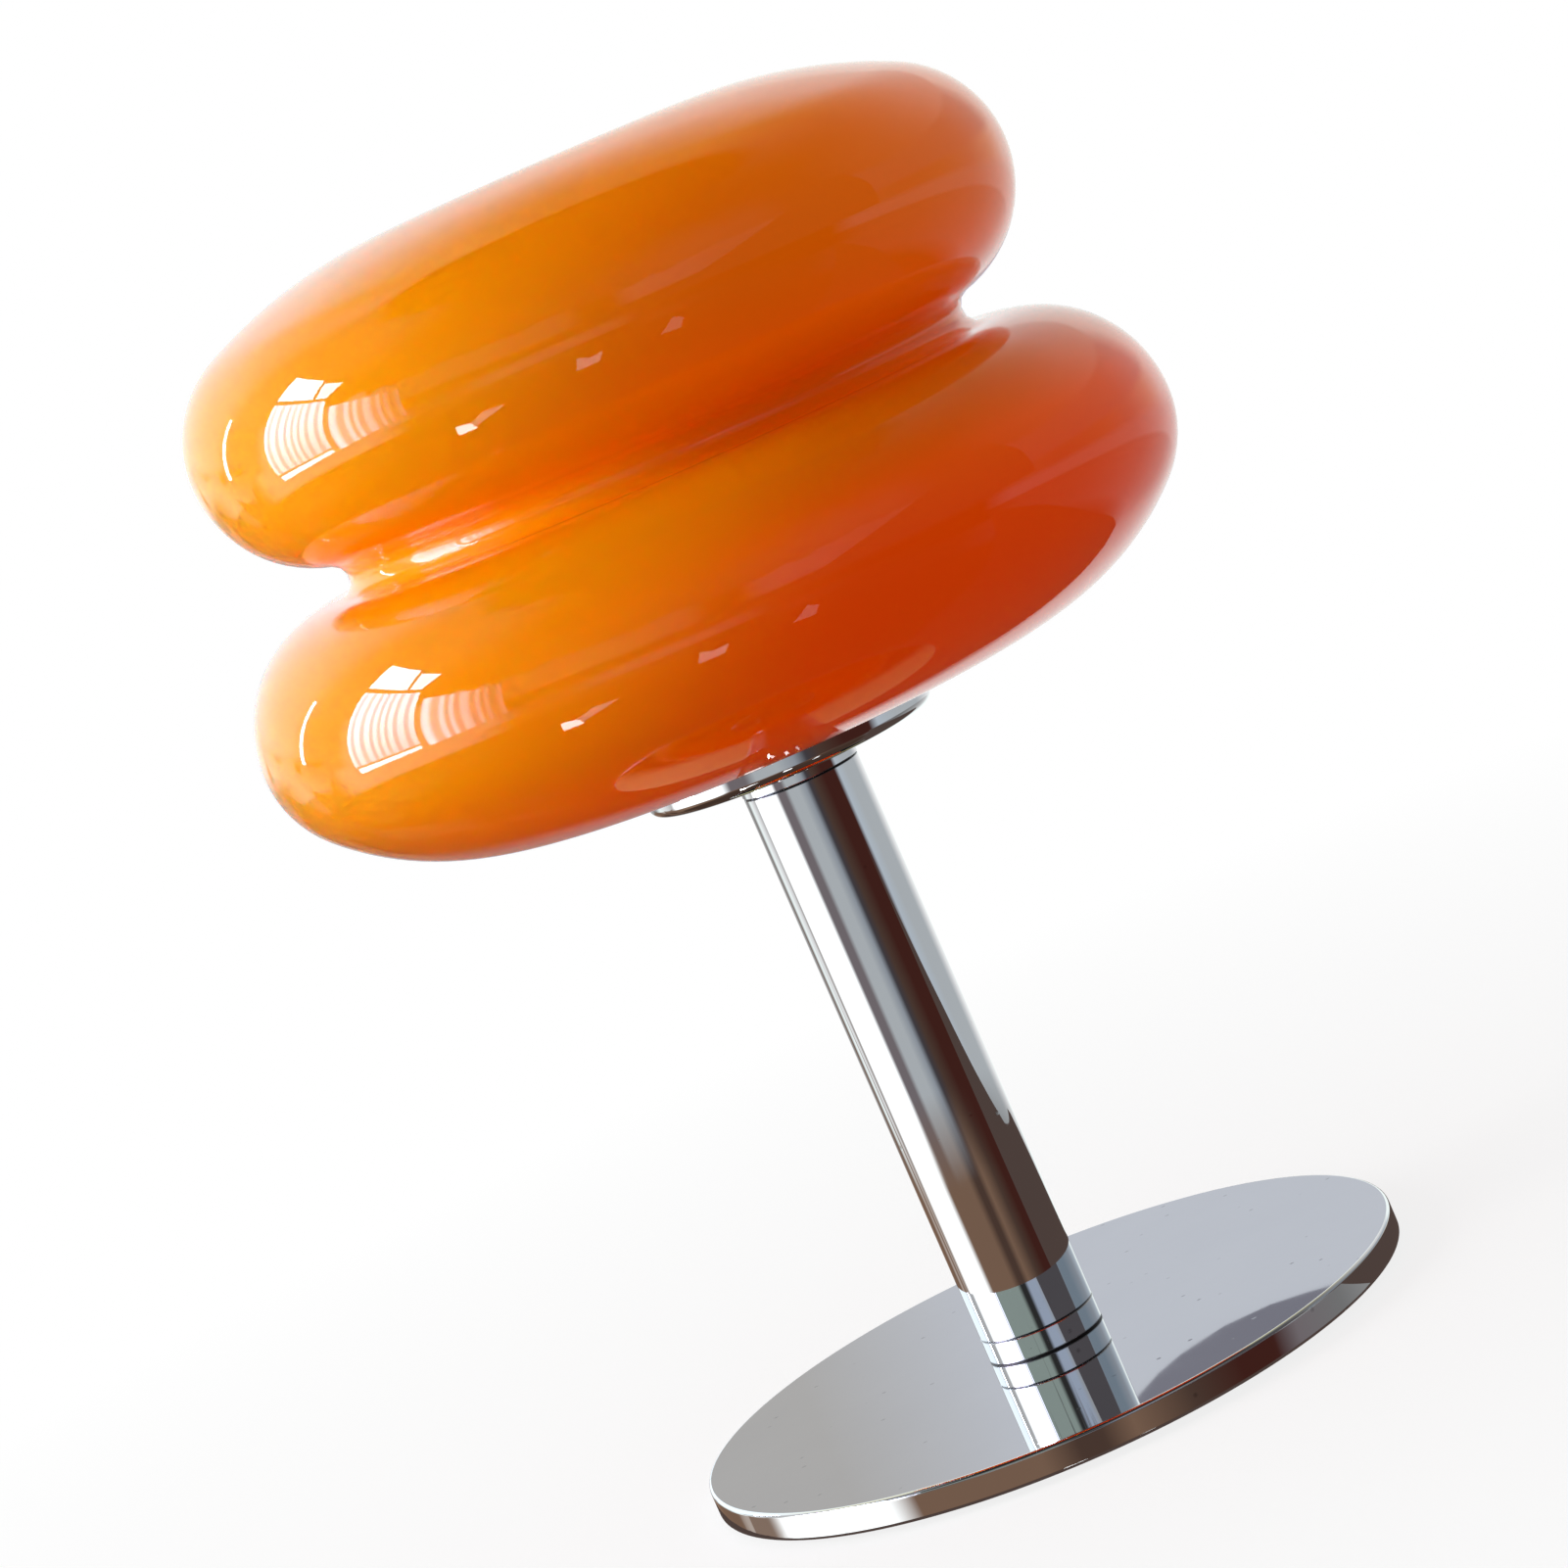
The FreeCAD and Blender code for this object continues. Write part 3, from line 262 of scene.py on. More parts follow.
# %% Section of the shade's outside, from the crown down to the neck
crown_turn = compass(crown_centre, upper_centre)
over_turn = compass(over_centre, waist_centre)
below_turn = compass(below_centre, waist_centre)
under_turn = compass(under_centre, lower_centre)
bends = [
    (crown_centre, crown_turn), (upper_centre, QUARTER - crown_turn), (over_centre, over_turn - QUARTER),
    (waist_centre, below_turn - over_turn), (below_centre, QUARTER - below_turn),
    (lower_centre, under_turn - QUARTER), (under_centre, math.pi - under_turn),
]

shade_mesh = bmesh.new()
tip = begin(shade_mesh, 0, shade_high.z)
tip = line(shade_mesh, tip, CROWN_FLAT / 2, shade_high.z)
tip = line(shade_mesh, tip, CROWN_FLAT, shade_high.z)
for centre, angle in bends:
    tip = arc(shade_mesh, tip, centre, angle)
tip = line(shade_mesh, tip, (UNDER_FLAT + NECK_RADIUS) / 2, shade_low.z)
tip = line(shade_mesh, tip, NECK_RADIUS, shade_low.z)
print("section points", len(shade_mesh.verts), "- ends at radius", round(tip.co.x / MM, 2), "mm")

# %% [markdown]
# The outside is spun round, and only then gets its wall: the thickness grows inwards, so the
# outside keeps the CAD size. The inner wall has a material of its own, because this glass is
# cased, with a pale lining inside the coloured layer. The edge of the neck was ground and then
# melted round in the flame.

# %% Wall, lining and neck of the shade
full_turn(shade_mesh, around=192)
outside_faces = shade_mesh.faces[:]
wall_made = bmesh.ops.solidify(shade_mesh, geom=outside_faces, thickness=WALL)
lining_faces = [item for item in wall_made["geom"] if isinstance(item, bmesh.types.BMFace)]
print("faces outside", len(outside_faces), "and inside", len(lining_faces))
for face in lining_faces:
    face.material_index = 1
round_edges(shade_mesh, hoops(shade_mesh, NECK_RADIUS, shade_low.z, shade_low.z + WALL), NECK_EDGE)
glass_shade = finish_piece(shade_mesh, "shade_glass", "shade", "glass_shade")

# %% [markdown]
# ## Base and gallery
# The base is a turned steel disc with a slightly rounded rim, recessed underneath for its screw.
# The gallery is a small dish, deep enough for the nut and the clips, with a larger round below.
# On a mirror finish the wide flat faces must stay truly flat, so the edges are bevelled in the
# mesh and the normals are weighted by the faces' areas.

# %% Base disc
BASE_EDGE = 0.8 * MM
SCREW_HOLE = 3.3 * MM
RECESS_RADIUS = 9.3 * MM
base_low, base_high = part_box("base_plate")
RECESS_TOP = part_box("base_washer")[1].z

disc = turned([
    (SCREW_HOLE, base_high.z), (base_high.x, base_high.z), (base_high.x, base_low.z),
    (RECESS_RADIUS, base_low.z), (RECESS_RADIUS, RECESS_TOP), (SCREW_HOLE, RECESS_TOP),
], around=192)
round_edges(disc, hoops(disc, base_high.x, base_high.z, base_low.z), BASE_EDGE)
finish_piece(disc, "base_disc", "stand", "base_plate")

# %% Rubber pad under the base
PAD_EDGE = 0.5 * MM
pad_low, pad_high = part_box("base_pad")

pad = turned([(0, pad_low.z), (pad_high.x, pad_low.z), (pad_high.x, pad_high.z), (0, pad_high.z)])
round_edges(pad, sharp_edges(pad), PAD_EDGE)
finish_piece(pad, "base_pad_disc", "stand", "base_pad")

# %% Gallery dish
GALLERY_LOWER_ROUND = 2.0 * MM
GALLERY_UPPER_ROUND = 0.6 * MM
GALLERY_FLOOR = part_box("lock_washer")[0].z
RIM_INNER = NECK_RADIUS + 1.0 * MM
NIPPLE_HOLE = 5.05 * MM
gallery_low, gallery_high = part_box("gallery_plate")

dish = turned([
    (NIPPLE_HOLE, gallery_low.z), (gallery_high.x, gallery_low.z), (gallery_high.x, gallery_high.z),
    (RIM_INNER, gallery_high.z), (RIM_INNER, GALLERY_FLOOR), (NIPPLE_HOLE, GALLERY_FLOOR),
], around=128)
round_edges(dish, hoops(dish, gallery_high.x, gallery_low.z), GALLERY_LOWER_ROUND, segments=8)
round_edges(dish, hoops(dish, gallery_high.x, gallery_high.z), GALLERY_UPPER_ROUND)
finish_piece(dish, "gallery_dish", "stand", "gallery_plate")

# %% [markdown]
# ## Fastenings in the gallery
# With the shade lifted off, the nut that clamps the gallery shows, with its toothed washer and
# the three screws of the glass clips. A real nut is turned from hexagon bar, so its corners end
# in a chamfer. Here it goes the other way round: a chamfered disc is turned, and every point that
# lies outside the hexagon is then drawn in to its flat.

# %% Lock nut
NUT_FLAT = 7.0 * MM
NUT_CHAMFER = 0.6 * MM
SIXTH = math.tau / 6
nut_low, nut_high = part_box("lock_nut")

nut = turned([
    (NIPPLE_HOLE, nut_low.z), (NUT_FLAT, nut_low.z), (nut_high.x, nut_low.z + NUT_CHAMFER),
    (nut_high.x, nut_high.z - NUT_CHAMFER), (NUT_FLAT, nut_high.z), (NIPPLE_HOLE, nut_high.z),
], around=96)
for vert in nut.verts:
    angle = math.atan2(vert.co.y, vert.co.x) % SIXTH
    hexagon = NUT_FLAT / math.cos(angle - SIXTH / 2)
    vert.co.xy = vert.co.xy * min(1.0, hexagon / vert.co.xy.length)
finish_piece(nut, "lock_nut_hexagon", "stand", "lock_nut")

# %% Toothed washer
TOOTH_COUNT = 16
TOOTH_DEPTH = 1.0 * MM
washer_low, washer_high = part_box("lock_washer")

washer = turned([
    (NIPPLE_HOLE, washer_low.z), (washer_high.x, washer_low.z),
    (washer_high.x, washer_high.z), (NIPPLE_HOLE, washer_high.z),
], around=TOOTH_COUNT * 6)
for vert in washer.verts:
    reach = vert.co.xy.length
    in_gap = math.cos(TOOTH_COUNT * math.atan2(vert.co.y, vert.co.x)) < 0
    if in_gap and reach > washer_high.x - TOOTH_DEPTH:
        vert.co.xy = vert.co.xy * (1 - TOOTH_DEPTH / reach)
finish_piece(washer, "lock_washer_toothed", "stand", "lock_washer")

# %% Slotted screws of the glass clips
SCREW_CIRCLE = 17.0 * MM
SCREW_SHANK = 1.5 * MM
SCREW_HEAD = 2.8 * MM
HEAD_HEIGHT = 1.8 * MM
HEAD_ROUND = 0.85 * MM
SLOT_HALF_WIDTH = 0.35 * MM
SLOT_DEPTH = 0.8 * MM
FACING_UP = 0.3
screw_low, screw_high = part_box("clip_screws")
head_seat = screw_high.z - HEAD_HEIGHT

screw = turned([
    (0, screw_low.z), (SCREW_SHANK, screw_low.z), (SCREW_SHANK, head_seat),
    (SCREW_HEAD, head_seat), (SCREW_HEAD, screw_high.z), (0, screw_high.z),
], around=48)
round_edges(screw, hoops(screw, SCREW_HEAD, screw_high.z), HEAD_ROUND)
for side in (-SLOT_HALF_WIDTH, SLOT_HALF_WIDTH):
    bmesh.ops.bisect_plane(screw, geom=screw.verts[:] + screw.edges[:] + screw.faces[:],
                           plane_co=(0, side, 0), plane_no=(0, 1, 0), dist=TOUCHING)
top_faces = [face for face in screw.faces
             if face.normal.z > FACING_UP and face.calc_center_median().z > head_seat]
slot_faces = [face for face in top_faces if abs(face.calc_center_median().y) < SLOT_HALF_WIDTH]
sunk = bmesh.ops.extrude_face_region(screw, geom=slot_faces)["geom"]
bmesh.ops.delete(screw, geom=[face for face in slot_faces if face.is_valid], context="FACES")
bmesh.ops.translate(screw, vec=(0, 0, -SLOT_DEPTH),
                    verts=[item for item in sunk if isinstance(item, bmesh.types.BMVert)])
bmesh.ops.translate(screw, vec=(SCREW_CIRCLE, 0, 0), verts=screw.verts)
bmesh.ops.spin(screw, geom=screw.verts[:] + screw.edges[:] + screw.faces[:], cent=(0, 0, 0),
               axis=(0, 0, 1), angle=math.tau * 2 / 3, steps=2, use_duplicate=True)
finish_piece(screw, "clip_screws_slotted", "stand", "clip_screws")

# %% [markdown]
# ## Lampholder and bulb
# The bulb has a small screw cap, an E14: thin sheet with a rolled thread, so the inside shows the
# same wave as the outside. The wall is turned plain, and each of its points is then pushed in or
# out by a wave that climbs one pitch in each turn and fades where the thread runs out. The same
# wave, counted round instead of upwards, gives the grip ribs on the holder's cap.

# %% A wave in a turned wall
def ripple(bm, radius, low, high, depth, wave, run_out):
    """Push the wall outside a radius in and out; the wave is a phase for each angle and height."""
    for vert in bm.verts:
        reach = vert.co.xy.length
        height = vert.co.z
        if reach > radius and low <= height <= high:
            fade = min(1.0, (height - low) / run_out, (high - height) / run_out)
            phase = wave(math.atan2(vert.co.y, vert.co.x), height)
            vert.co.xy = vert.co.xy * (1 + depth * fade * math.cos(phase) / reach)


# %% A thin sleeve with a rolled thread
THREAD_PITCH = 2.82 * MM
THREAD_CUTS = 48
SHEET = 0.3 * MM
INSIDE_WALL = 0.98


def climbing(angle, height):
    """Phase of a thread, which climbs one pitch in each turn."""
    return math.tau * height / THREAD_PITCH - angle


def threaded(name, body, node, below, thread, above, depth):
    """Thin threaded sleeve: plain corners below, the thread's two ends, plain corners above."""
    bm = bmesh.new()
    tip = begin(bm, *below[0])
    for radius, height in below[1:] + thread[:1]:
        tip = line(bm, tip, radius, height)
    start = tip
    tip = line(bm, start, *thread[1])
    wall = bm.edges.get((start, tip))
    for radius, height in above:
        tip = line(bm, tip, radius, height)
    bmesh.ops.subdivide_edges(bm, edges=[wall], cuts=THREAD_CUTS)
    full_turn(bm, around=64)
    ripple(bm, thread[0][0] * INSIDE_WALL, thread[0][1], thread[1][1], depth, climbing, THREAD_PITCH)
    bmesh.ops.solidify(bm, geom=bm.faces[:], thickness=SHEET)
    finish_piece(bm, name, body, node)


# %% Screw cap of the bulb
CAP_FOOT = 4.8 * MM
CAP_CONE = 1.7 * MM
CAP_NECK = 2.6 * MM
CAP_BAND = 2.0 * MM
CAP_THREAD = 0.28 * MM
cap_low, cap_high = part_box("bulb_screw_cap")
CAP_WALL = cap_high.x - 0.3 * MM

threaded("bulb_cap_threaded", "bulb", "bulb_screw_cap",
         below=[(CAP_FOOT, cap_low.z)],
         thread=[(CAP_WALL, cap_low.z + CAP_CONE), (CAP_WALL, cap_high.z - CAP_NECK)],
         above=[(cap_high.x, cap_high.z - CAP_BAND), (cap_high.x, cap_high.z)], depth=CAP_THREAD)

# %% Screw shell of the holder
SHELL_FOOT = 4.5 * MM
SHELL_PLAIN = 2.0 * MM
SHELL_RIM = 1.0 * MM
SHELL_THREAD = 0.15 * MM
shell_low, shell_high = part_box("holder_shell")
SHELL_WALL = shell_high.x - 0.2 * MM

threaded("holder_shell_threaded", "stand", "holder_shell",
         below=[(SHELL_FOOT, shell_low.z), (SHELL_WALL, shell_low.z)],
         thread=[(SHELL_WALL, shell_low.z + SHELL_PLAIN), (SHELL_WALL, shell_high.z - SHELL_RIM)],
         above=[(shell_high.x, shell_high.z)], depth=SHELL_THREAD)

# %% Holder: ribbed cap and tapered skirt
HOLDER_EDGE = 0.35 * MM
HOLDER_WALL = 1.8 * MM
HOLDER_LEDGE = 1.4 * MM
BOSS_RADIUS = 7.5 * MM
CONE_HEIGHT = 5.5 * MM
CAP_FLOOR = 4.0 * MM
MOUTH_RADIUS = 11.5 * MM
RIB_COUNT = 36
RIB_DEPTH = 0.18 * MM
RIB_MARGIN = 0.8 * MM
holder_low, holder_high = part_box("holder_cap")
skirt_low, skirt_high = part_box("holder_body")
insulator_low, insulator_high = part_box("holder_insulator")
holder_radius = holder_high.x
holder_bore = holder_radius - HOLDER_WALL
ledge = holder_bore - HOLDER_LEDGE
rib_foot = holder_radius - RIB_DEPTH
shoulder = holder_low.z + CONE_HEIGHT

holder_cap = turned([
    (NIPPLE_HOLE, holder_low.z), (BOSS_RADIUS, holder_low.z), (holder_radius, shoulder),
    (rib_foot, shoulder + RIB_MARGIN), (rib_foot, holder_high.z - RIB_MARGIN),
    (holder_radius, holder_high.z), (holder_bore, holder_high.z), (holder_bore, insulator_low.z),
    (ledge, insulator_low.z), (ledge, shoulder + HOLDER_WALL),
    (BOSS_RADIUS - HOLDER_WALL / 2, holder_low.z + CAP_FLOOR), (NIPPLE_HOLE, holder_low.z + CAP_FLOOR),
], around=RIB_COUNT * 6)
ripple(holder_cap, holder_bore + RIB_DEPTH, shoulder, holder_high.z, RIB_DEPTH,
       lambda angle, height: RIB_COUNT * angle, run_out=RIB_MARGIN)
finish_piece(holder_cap, "holder_cap_ribbed", "stand", "holder_cap")

holder_skirt = turned([
    (holder_bore, skirt_low.z), (holder_radius, skirt_low.z), (holder_radius, insulator_high.z),
    (MOUTH_RADIUS, skirt_high.z), (MOUTH_RADIUS - HOLDER_WALL, skirt_high.z),
    (ledge, insulator_high.z + HOLDER_WALL), (ledge, insulator_high.z), (holder_bore, insulator_high.z),
], around=96)
round_edges(holder_skirt, sharp_edges(holder_skirt), HOLDER_EDGE)
finish_piece(holder_skirt, "holder_skirt", "stand", "holder_body")

# %% Bulb: opal globe on its moulded collar
GLOBE_WALL = 1.2 * MM
COLLAR_EDGE = 0.5 * MM
PLUG_RADIUS = 6.25 * MM
BAND_RADIUS = 7.5 * MM
BAND_HEIGHT = 2.0 * MM
CUP_RIM = 1.2 * MM
globe_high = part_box("bulb_globe")[1]
collar_low, collar_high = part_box("bulb_collar")
globe_radius = globe_high.x
globe_centre = (0, globe_high.z - globe_radius)
neck_reach = collar_high.x

globe = bmesh.new()
tip = begin(globe, 0, globe_high.z)
arc(globe, tip, globe_centre, math.pi - math.asin(neck_reach / globe_radius))
full_turn(globe, around=96)
bmesh.ops.solidify(globe, geom=globe.faces[:], thickness=GLOBE_WALL)
finish_piece(globe, "bulb_globe_opal", "bulb", "bulb_globe")

collar = turned([
    (0, collar_low.z), (PLUG_RADIUS, collar_low.z), (PLUG_RADIUS, cap_high.z), (BAND_RADIUS, cap_high.z),
    (BAND_RADIUS, cap_high.z + BAND_HEIGHT), (neck_reach, collar_high.z - CUP_RIM),
    (neck_reach, collar_high.z), (0, collar_high.z),
], around=96)
round_edges(collar, sharp_edges(collar), COLLAR_EDGE)
finish_piece(collar, "bulb_collar_moulded", "bulb", "bulb_collar")

# %% [markdown]
# ## Materials
# Each finish is one Principled BSDF. What changes over a surface, such as smudges on the polish,
# comes from a node group that several finishes share with values of their own; what is the same
# all over is set on the shader's own sockets. All node trees need the same few steps, so these
# are short helpers. Every node and socket knows its own tree, as its id_data.

# %% Small steps in a node tree
def fill(node, settings):
    """Give a node's inputs numbers and colours, or link other sockets to them."""
    for label, value in settings.items():
        socket = node.inputs[label]
        if isinstance(value, bpy.types.NodeSocket):
            node.id_data.links.new(socket, value)
        else:
            socket.default_value = (*value, 1) if socket.type == "RGBA" else value


def add(beside, kind, settings, **choices):
    """New shader node in the tree of a node or socket, with its choices made and its inputs filled."""
    node = beside.id_data.nodes.new("ShaderNode" + kind)
    for name, value in choices.items():
        setattr(node, name, value)
    fill(node, settings)
    return node


def calc(operation, *values):
    """Result of a Math node on a socket and further sockets or plain numbers."""
    return add(values[0], "Math", dict(enumerate(values)), operation=operation).outputs["Value"]


def ranged(source, low, high, start=0.3, end=0.7):
    """Value between low and high as the source goes from start to end."""
    ends = {"Value": source, "From Min": start, "From Max": end, "To Min": low, "To Max": high}
    return add(source, "MapRange", ends).outputs["Result"]


def mixed(factor, first, second):
    """Colour between two colours, each a tuple or a socket."""
    ends = {"Factor": factor, "A": first, "B": second}
    return add(factor, "Mix", ends, data_type="RGBA").outputs["Result"]


def either(factor, first, second):
    """Shader between two shaders."""
    return add(factor, "MixShader", {0: factor, 1: first, 2: second}).outputs["Shader"]


def noise(where, scale, detail, roughness=0.5):
    """Noise on the given coordinates."""
    settings = {"Vector": where, "Scale": scale, "Detail": detail, "Roughness": roughness}
    return add(where, "TexNoise", settings).outputs["Fac"]


def bumped(shader, height, depth):
    """Bump on the shader's normal; gives that normal."""
    settings = {"Strength": 1.0, "Distance": depth, "Height": height}
    normal = add(shader, "Bump", settings).outputs["Normal"]
    fill(shader, {"Normal": normal})
    return normal


def on_object(beside):
    """Object coordinates, which are the lamp's own, because every piece sits at the origin."""
    return add(beside, "TexCoord", {}).outputs["Object"]


def along(beside, axis):
    """Place along one axis of the Object coordinates."""
    return add(beside, "SeparateXYZ", {"Vector": on_object(beside)}).outputs[axis]


def new_material(name):
    """Empty material with its Principled BSDF."""
    material = bpy.data.materials.new(name)
    material.use_nodes = True
    return material, material.node_tree.nodes["Principled BSDF"]


# %% Marks of handling, as a group that the finishes share
RUB_STRETCH = (1.0, 1.0, 0.06)
SPECK_SCALE = 140.0
SPECK_FADE = (0.03, 0.09)


def make_polish_marks():
    """Smudges left by hands, rubbing marks left by a cloth, and specks, on Object coordinates."""
    group = bpy.data.node_groups.new("polish_marks", "ShaderNodeTree")
    for label, value in (("Smudge Scale", 30.0), ("Rub Scale", 900.0)):
        socket = group.interface.new_socket(label, in_out="INPUT", socket_type="NodeSocketFloat")
        socket.default_value = value
    for label in ("Smudge", "Rub", "Speck"):
        group.interface.new_socket(label, in_out="OUTPUT", socket_type="NodeSocketFloat")
    given = group.nodes.new("NodeGroupInput").outputs
    where = on_object(group)
    stretch = add(group, "Mapping", {"Vector": where, "Scale": RUB_STRETCH})
    dots = add(group, "TexVoronoi", {"Vector": where, "Scale": SPECK_SCALE})
    fill(group.nodes.new("NodeGroupOutput"), {
        "Smudge": noise(where, given["Smudge Scale"], detail=4.0, roughness=0.6),
        "Rub": noise(stretch.outputs["Vector"], given["Rub Scale"], detail=2.0),
        "Speck": ranged(dots.outputs["Distance"], 1.0, 0.0, *SPECK_FADE),
    })
    return group


def polished(shader, smudge_scale, rub_scale):
    """The marks in a material, with scales of its own."""
    settings = {"Smudge Scale": smudge_scale, "Rub Scale": rub_scale}
    return add(shader, "Group", settings, node_tree=polish_marks).outputs


def handled(name, dark, light, rough, grain, smudge_scale, rub_scale, metallic=0.0):
    """Finish whose colour, roughness and fine grain follow the marks of handling."""
    material, shader = new_material(name)
    marks = polished(shader, smudge_scale, rub_scale)
    fill(shader, {
        "Metallic": metallic, "Base Color": mixed(marks["Smudge"], dark, light),
        "Roughness": ranged(marks["Smudge"], *rough),
    })
    if grain:
        bumped(shader, marks["Rub"], grain)
    return material


polish_marks = make_polish_marks()
print("group", polish_marks.name, "with", len(polish_marks.nodes), "nodes")

# %% [markdown]
# ### Orange glass
# Light goes into this glass and spreads in it before it comes out again, the red part much
# further than the green. That is why the lamp is yellowish orange where the window lights it
# and deep red-orange where it doesn't. Subsurface scattering with a longer way for red
# gives that near the surface, and a clear coat gives the sharp reflections of its face. Light that
# has gone round inside the shade comes back out as a faint red, less of it on the window's side
# and in the narrow waist. A weak emission stands in for it: the lamp itself is switched off.

# %% Orange glass and its lining
GLASS_IOR = 1.52
AMBER = (0.80, 0.355, 0.0006)
DEEP_ORANGE = (0.74, 0.27, 0.0003)
# How much paler the upper lobe is: the lower lobe's deeper orange is painted shade.
LOBE_SHADE_SHARE = 0.4
MELT_SCALE = 9.0
MELT_MIDDLE = 0.4
MELT_DEPTH = 0.4 * MM
LOWER_GLOW = (1.0, 0.015, 0.0)
UPPER_GLOW = (1.0, 0.10, 0.0)
WAIST_GLOW = (0.40, 0.030, 0.0)
WINDOW_SIDE_GLOW = (0.48, 0.045, 0.0)
WINDOW_SIDE = (-90 * MM, 10 * MM)
OVER_WAIST = (waist_height + 3 * MM, waist_height + 12.5 * MM)
UNDER_WAIST = (waist_height - 20 * MM, waist_height - 4 * MM)
BELLY_ZONE = (lower_height - 22 * MM, lower_height - 4 * MM)


def inner_glow(height, upwards):
    """Colour of the light that comes back out: by lobe, then by side, then by the waist."""
    by_lobe = mixed(upwards, LOWER_GLOW, UPPER_GLOW)
    window_side = ranged(along(height, "X"), 0.0, 1.0, *WINDOW_SIDE)
    belly = ranged(height, 1.0, 0.0, *BELLY_ZONE)
    by_side = mixed(calc("MAXIMUM", window_side, belly), WINDOW_SIDE_GLOW, by_lobe)
    over = ranged(height, 0.0, 1.0, *OVER_WAIST)
    under = ranged(height, 1.0, 0.0, *UNDER_WAIST)
    return mixed(calc("MAXIMUM", over, under), WAIST_GLOW, by_side)


def make_orange_glass():
    material, shader = new_material("orange_glass")
    marks = polished(shader, smudge_scale=14.0, rub_scale=300.0)
    melt = noise(on_object(shader), MELT_SCALE, detail=2.0)
    height = along(shader, "Z")
    upwards = ranged(height, 0.0, 1.0, start=lower_height, end=upper_height)
    # The lower lobe is painted a deeper orange than the upper one, as painted shade under the upper lobe;
    # the melt noise is the glass's own uneven colour.
    melt_and_lobe_shade = calc("MULTIPLY_ADD", upwards, LOBE_SHADE_SHARE, calc("SUBTRACT", melt, MELT_MIDDLE))
    shader.subsurface_method = "BURLEY"
    fill(shader, {
        "Base Color": mixed(melt_and_lobe_shade, DEEP_ORANGE, AMBER), "Roughness": 0.5, "Specular IOR Level": 0.0,
        "Subsurface Weight": 1.0, "Subsurface Radius": (1.0, 0.22, 0.05), "Subsurface Scale": 0.016,
        "Coat Weight": ranged(marks["Smudge"], 1.0, 0.9), "Coat Roughness": 0.015, "Coat IOR": GLASS_IOR,
        "Coat Normal": bumped(shader, melt, MELT_DEPTH),
        "Emission Color": inner_glow(height, upwards), "Emission Strength": 0.44,
    })
    return material


orange_glass = make_orange_glass()
opal_lining = handled("opal_lining", (0.90, 0.60, 0.34), (0.94, 0.70, 0.46), (0.10, 0.22), 0.0,
                      smudge_scale=20.0, rub_scale=400.0)
opal_lining.node_tree.nodes["Principled BSDF"].inputs["IOR"].default_value = GLASS_IOR
print(orange_glass.name, "with", len(orange_glass.node_tree.nodes), "nodes")

# %% [markdown]
# ### Chrome and the other finishes
# Chrome is nearly a perfect mirror, so it lives from what it mirrors and from its few faults: tiny
# pits, a trace of smudges, and dark lines where pieces meet, placed by the joint's height: polish
# dried in the joint and painted shade in the gap. All the rest, from rubber to brass, is the same
# finish with other colours, roughness and grain.

# %% Chrome plating, with grime and painted shade at the stem's joints
DULL_CHROME = (0.80, 0.81, 0.83)
BRIGHT_CHROME = (0.86, 0.87, 0.88)
CHROME_ROUGH = (0.008, 0.03)
JOINT_DIRT_AND_SHADE = (0.035, 0.033, 0.032)
DIRT_ROUGHNESS = 0.4
PIT_DIRT = 0.35
PIT_DEPTH = 0.004 * MM
METAL_SCALES = {"smudge_scale": 40.0, "rub_scale": 900.0}


def plated(name, joints=()):
    """Chrome plating with a few pits, and grime and painted shade in joints, each a height, a width and a
    darkness.
    """
    material, shader = new_material(name)
    marks = polished(shader, **METAL_SCALES)
    dirt_and_joint_shade = calc("MULTIPLY", marks["Speck"], PIT_DIRT)
    # Each joint darkens a band round the stem: polish dried in the gap, and painted shade in the gap.
    for joint, width, darkness in joints:
        gap = calc("ABSOLUTE", calc("SUBTRACT", along(shader, "Z"), joint))
        dirt_and_joint_shade = calc("MAXIMUM", dirt_and_joint_shade, ranged(gap, darkness, 0.0, start=width / 4, end=width / 2))
    polish = mixed(marks["Smudge"], DULL_CHROME, BRIGHT_CHROME)
    dull = calc("MULTIPLY", dirt_and_joint_shade, DIRT_ROUGHNESS)
    fill(shader, {
        "Metallic": 1.0, "Base Color": mixed(dirt_and_joint_shade, polish, JOINT_DIRT_AND_SHADE),
        "Roughness": calc("MAXIMUM", ranged(marks["Smudge"], *CHROME_ROUGH), dull),
    })
    bumped(shader, marks["Speck"], -PIT_DEPTH)
    return material


stem_joints = [
    (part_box("foot_collar")[0].z, 1.2 * MM, 1.0), (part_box("stem_tube")[0].z, 0.7 * MM, 0.75),
    (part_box("stem_tube")[1].z, 0.7 * MM, 0.75), (gallery_low.z, 1.0 * MM, 0.9),
]
stem_chrome = plated("chrome_at_joints", stem_joints)
slot_finish = {"chrome": plated("chrome"), "orange_glass": orange_glass}
print("joints of the stem at", [round(joint[0] / MM, 1) for joint in stem_joints], "mm")

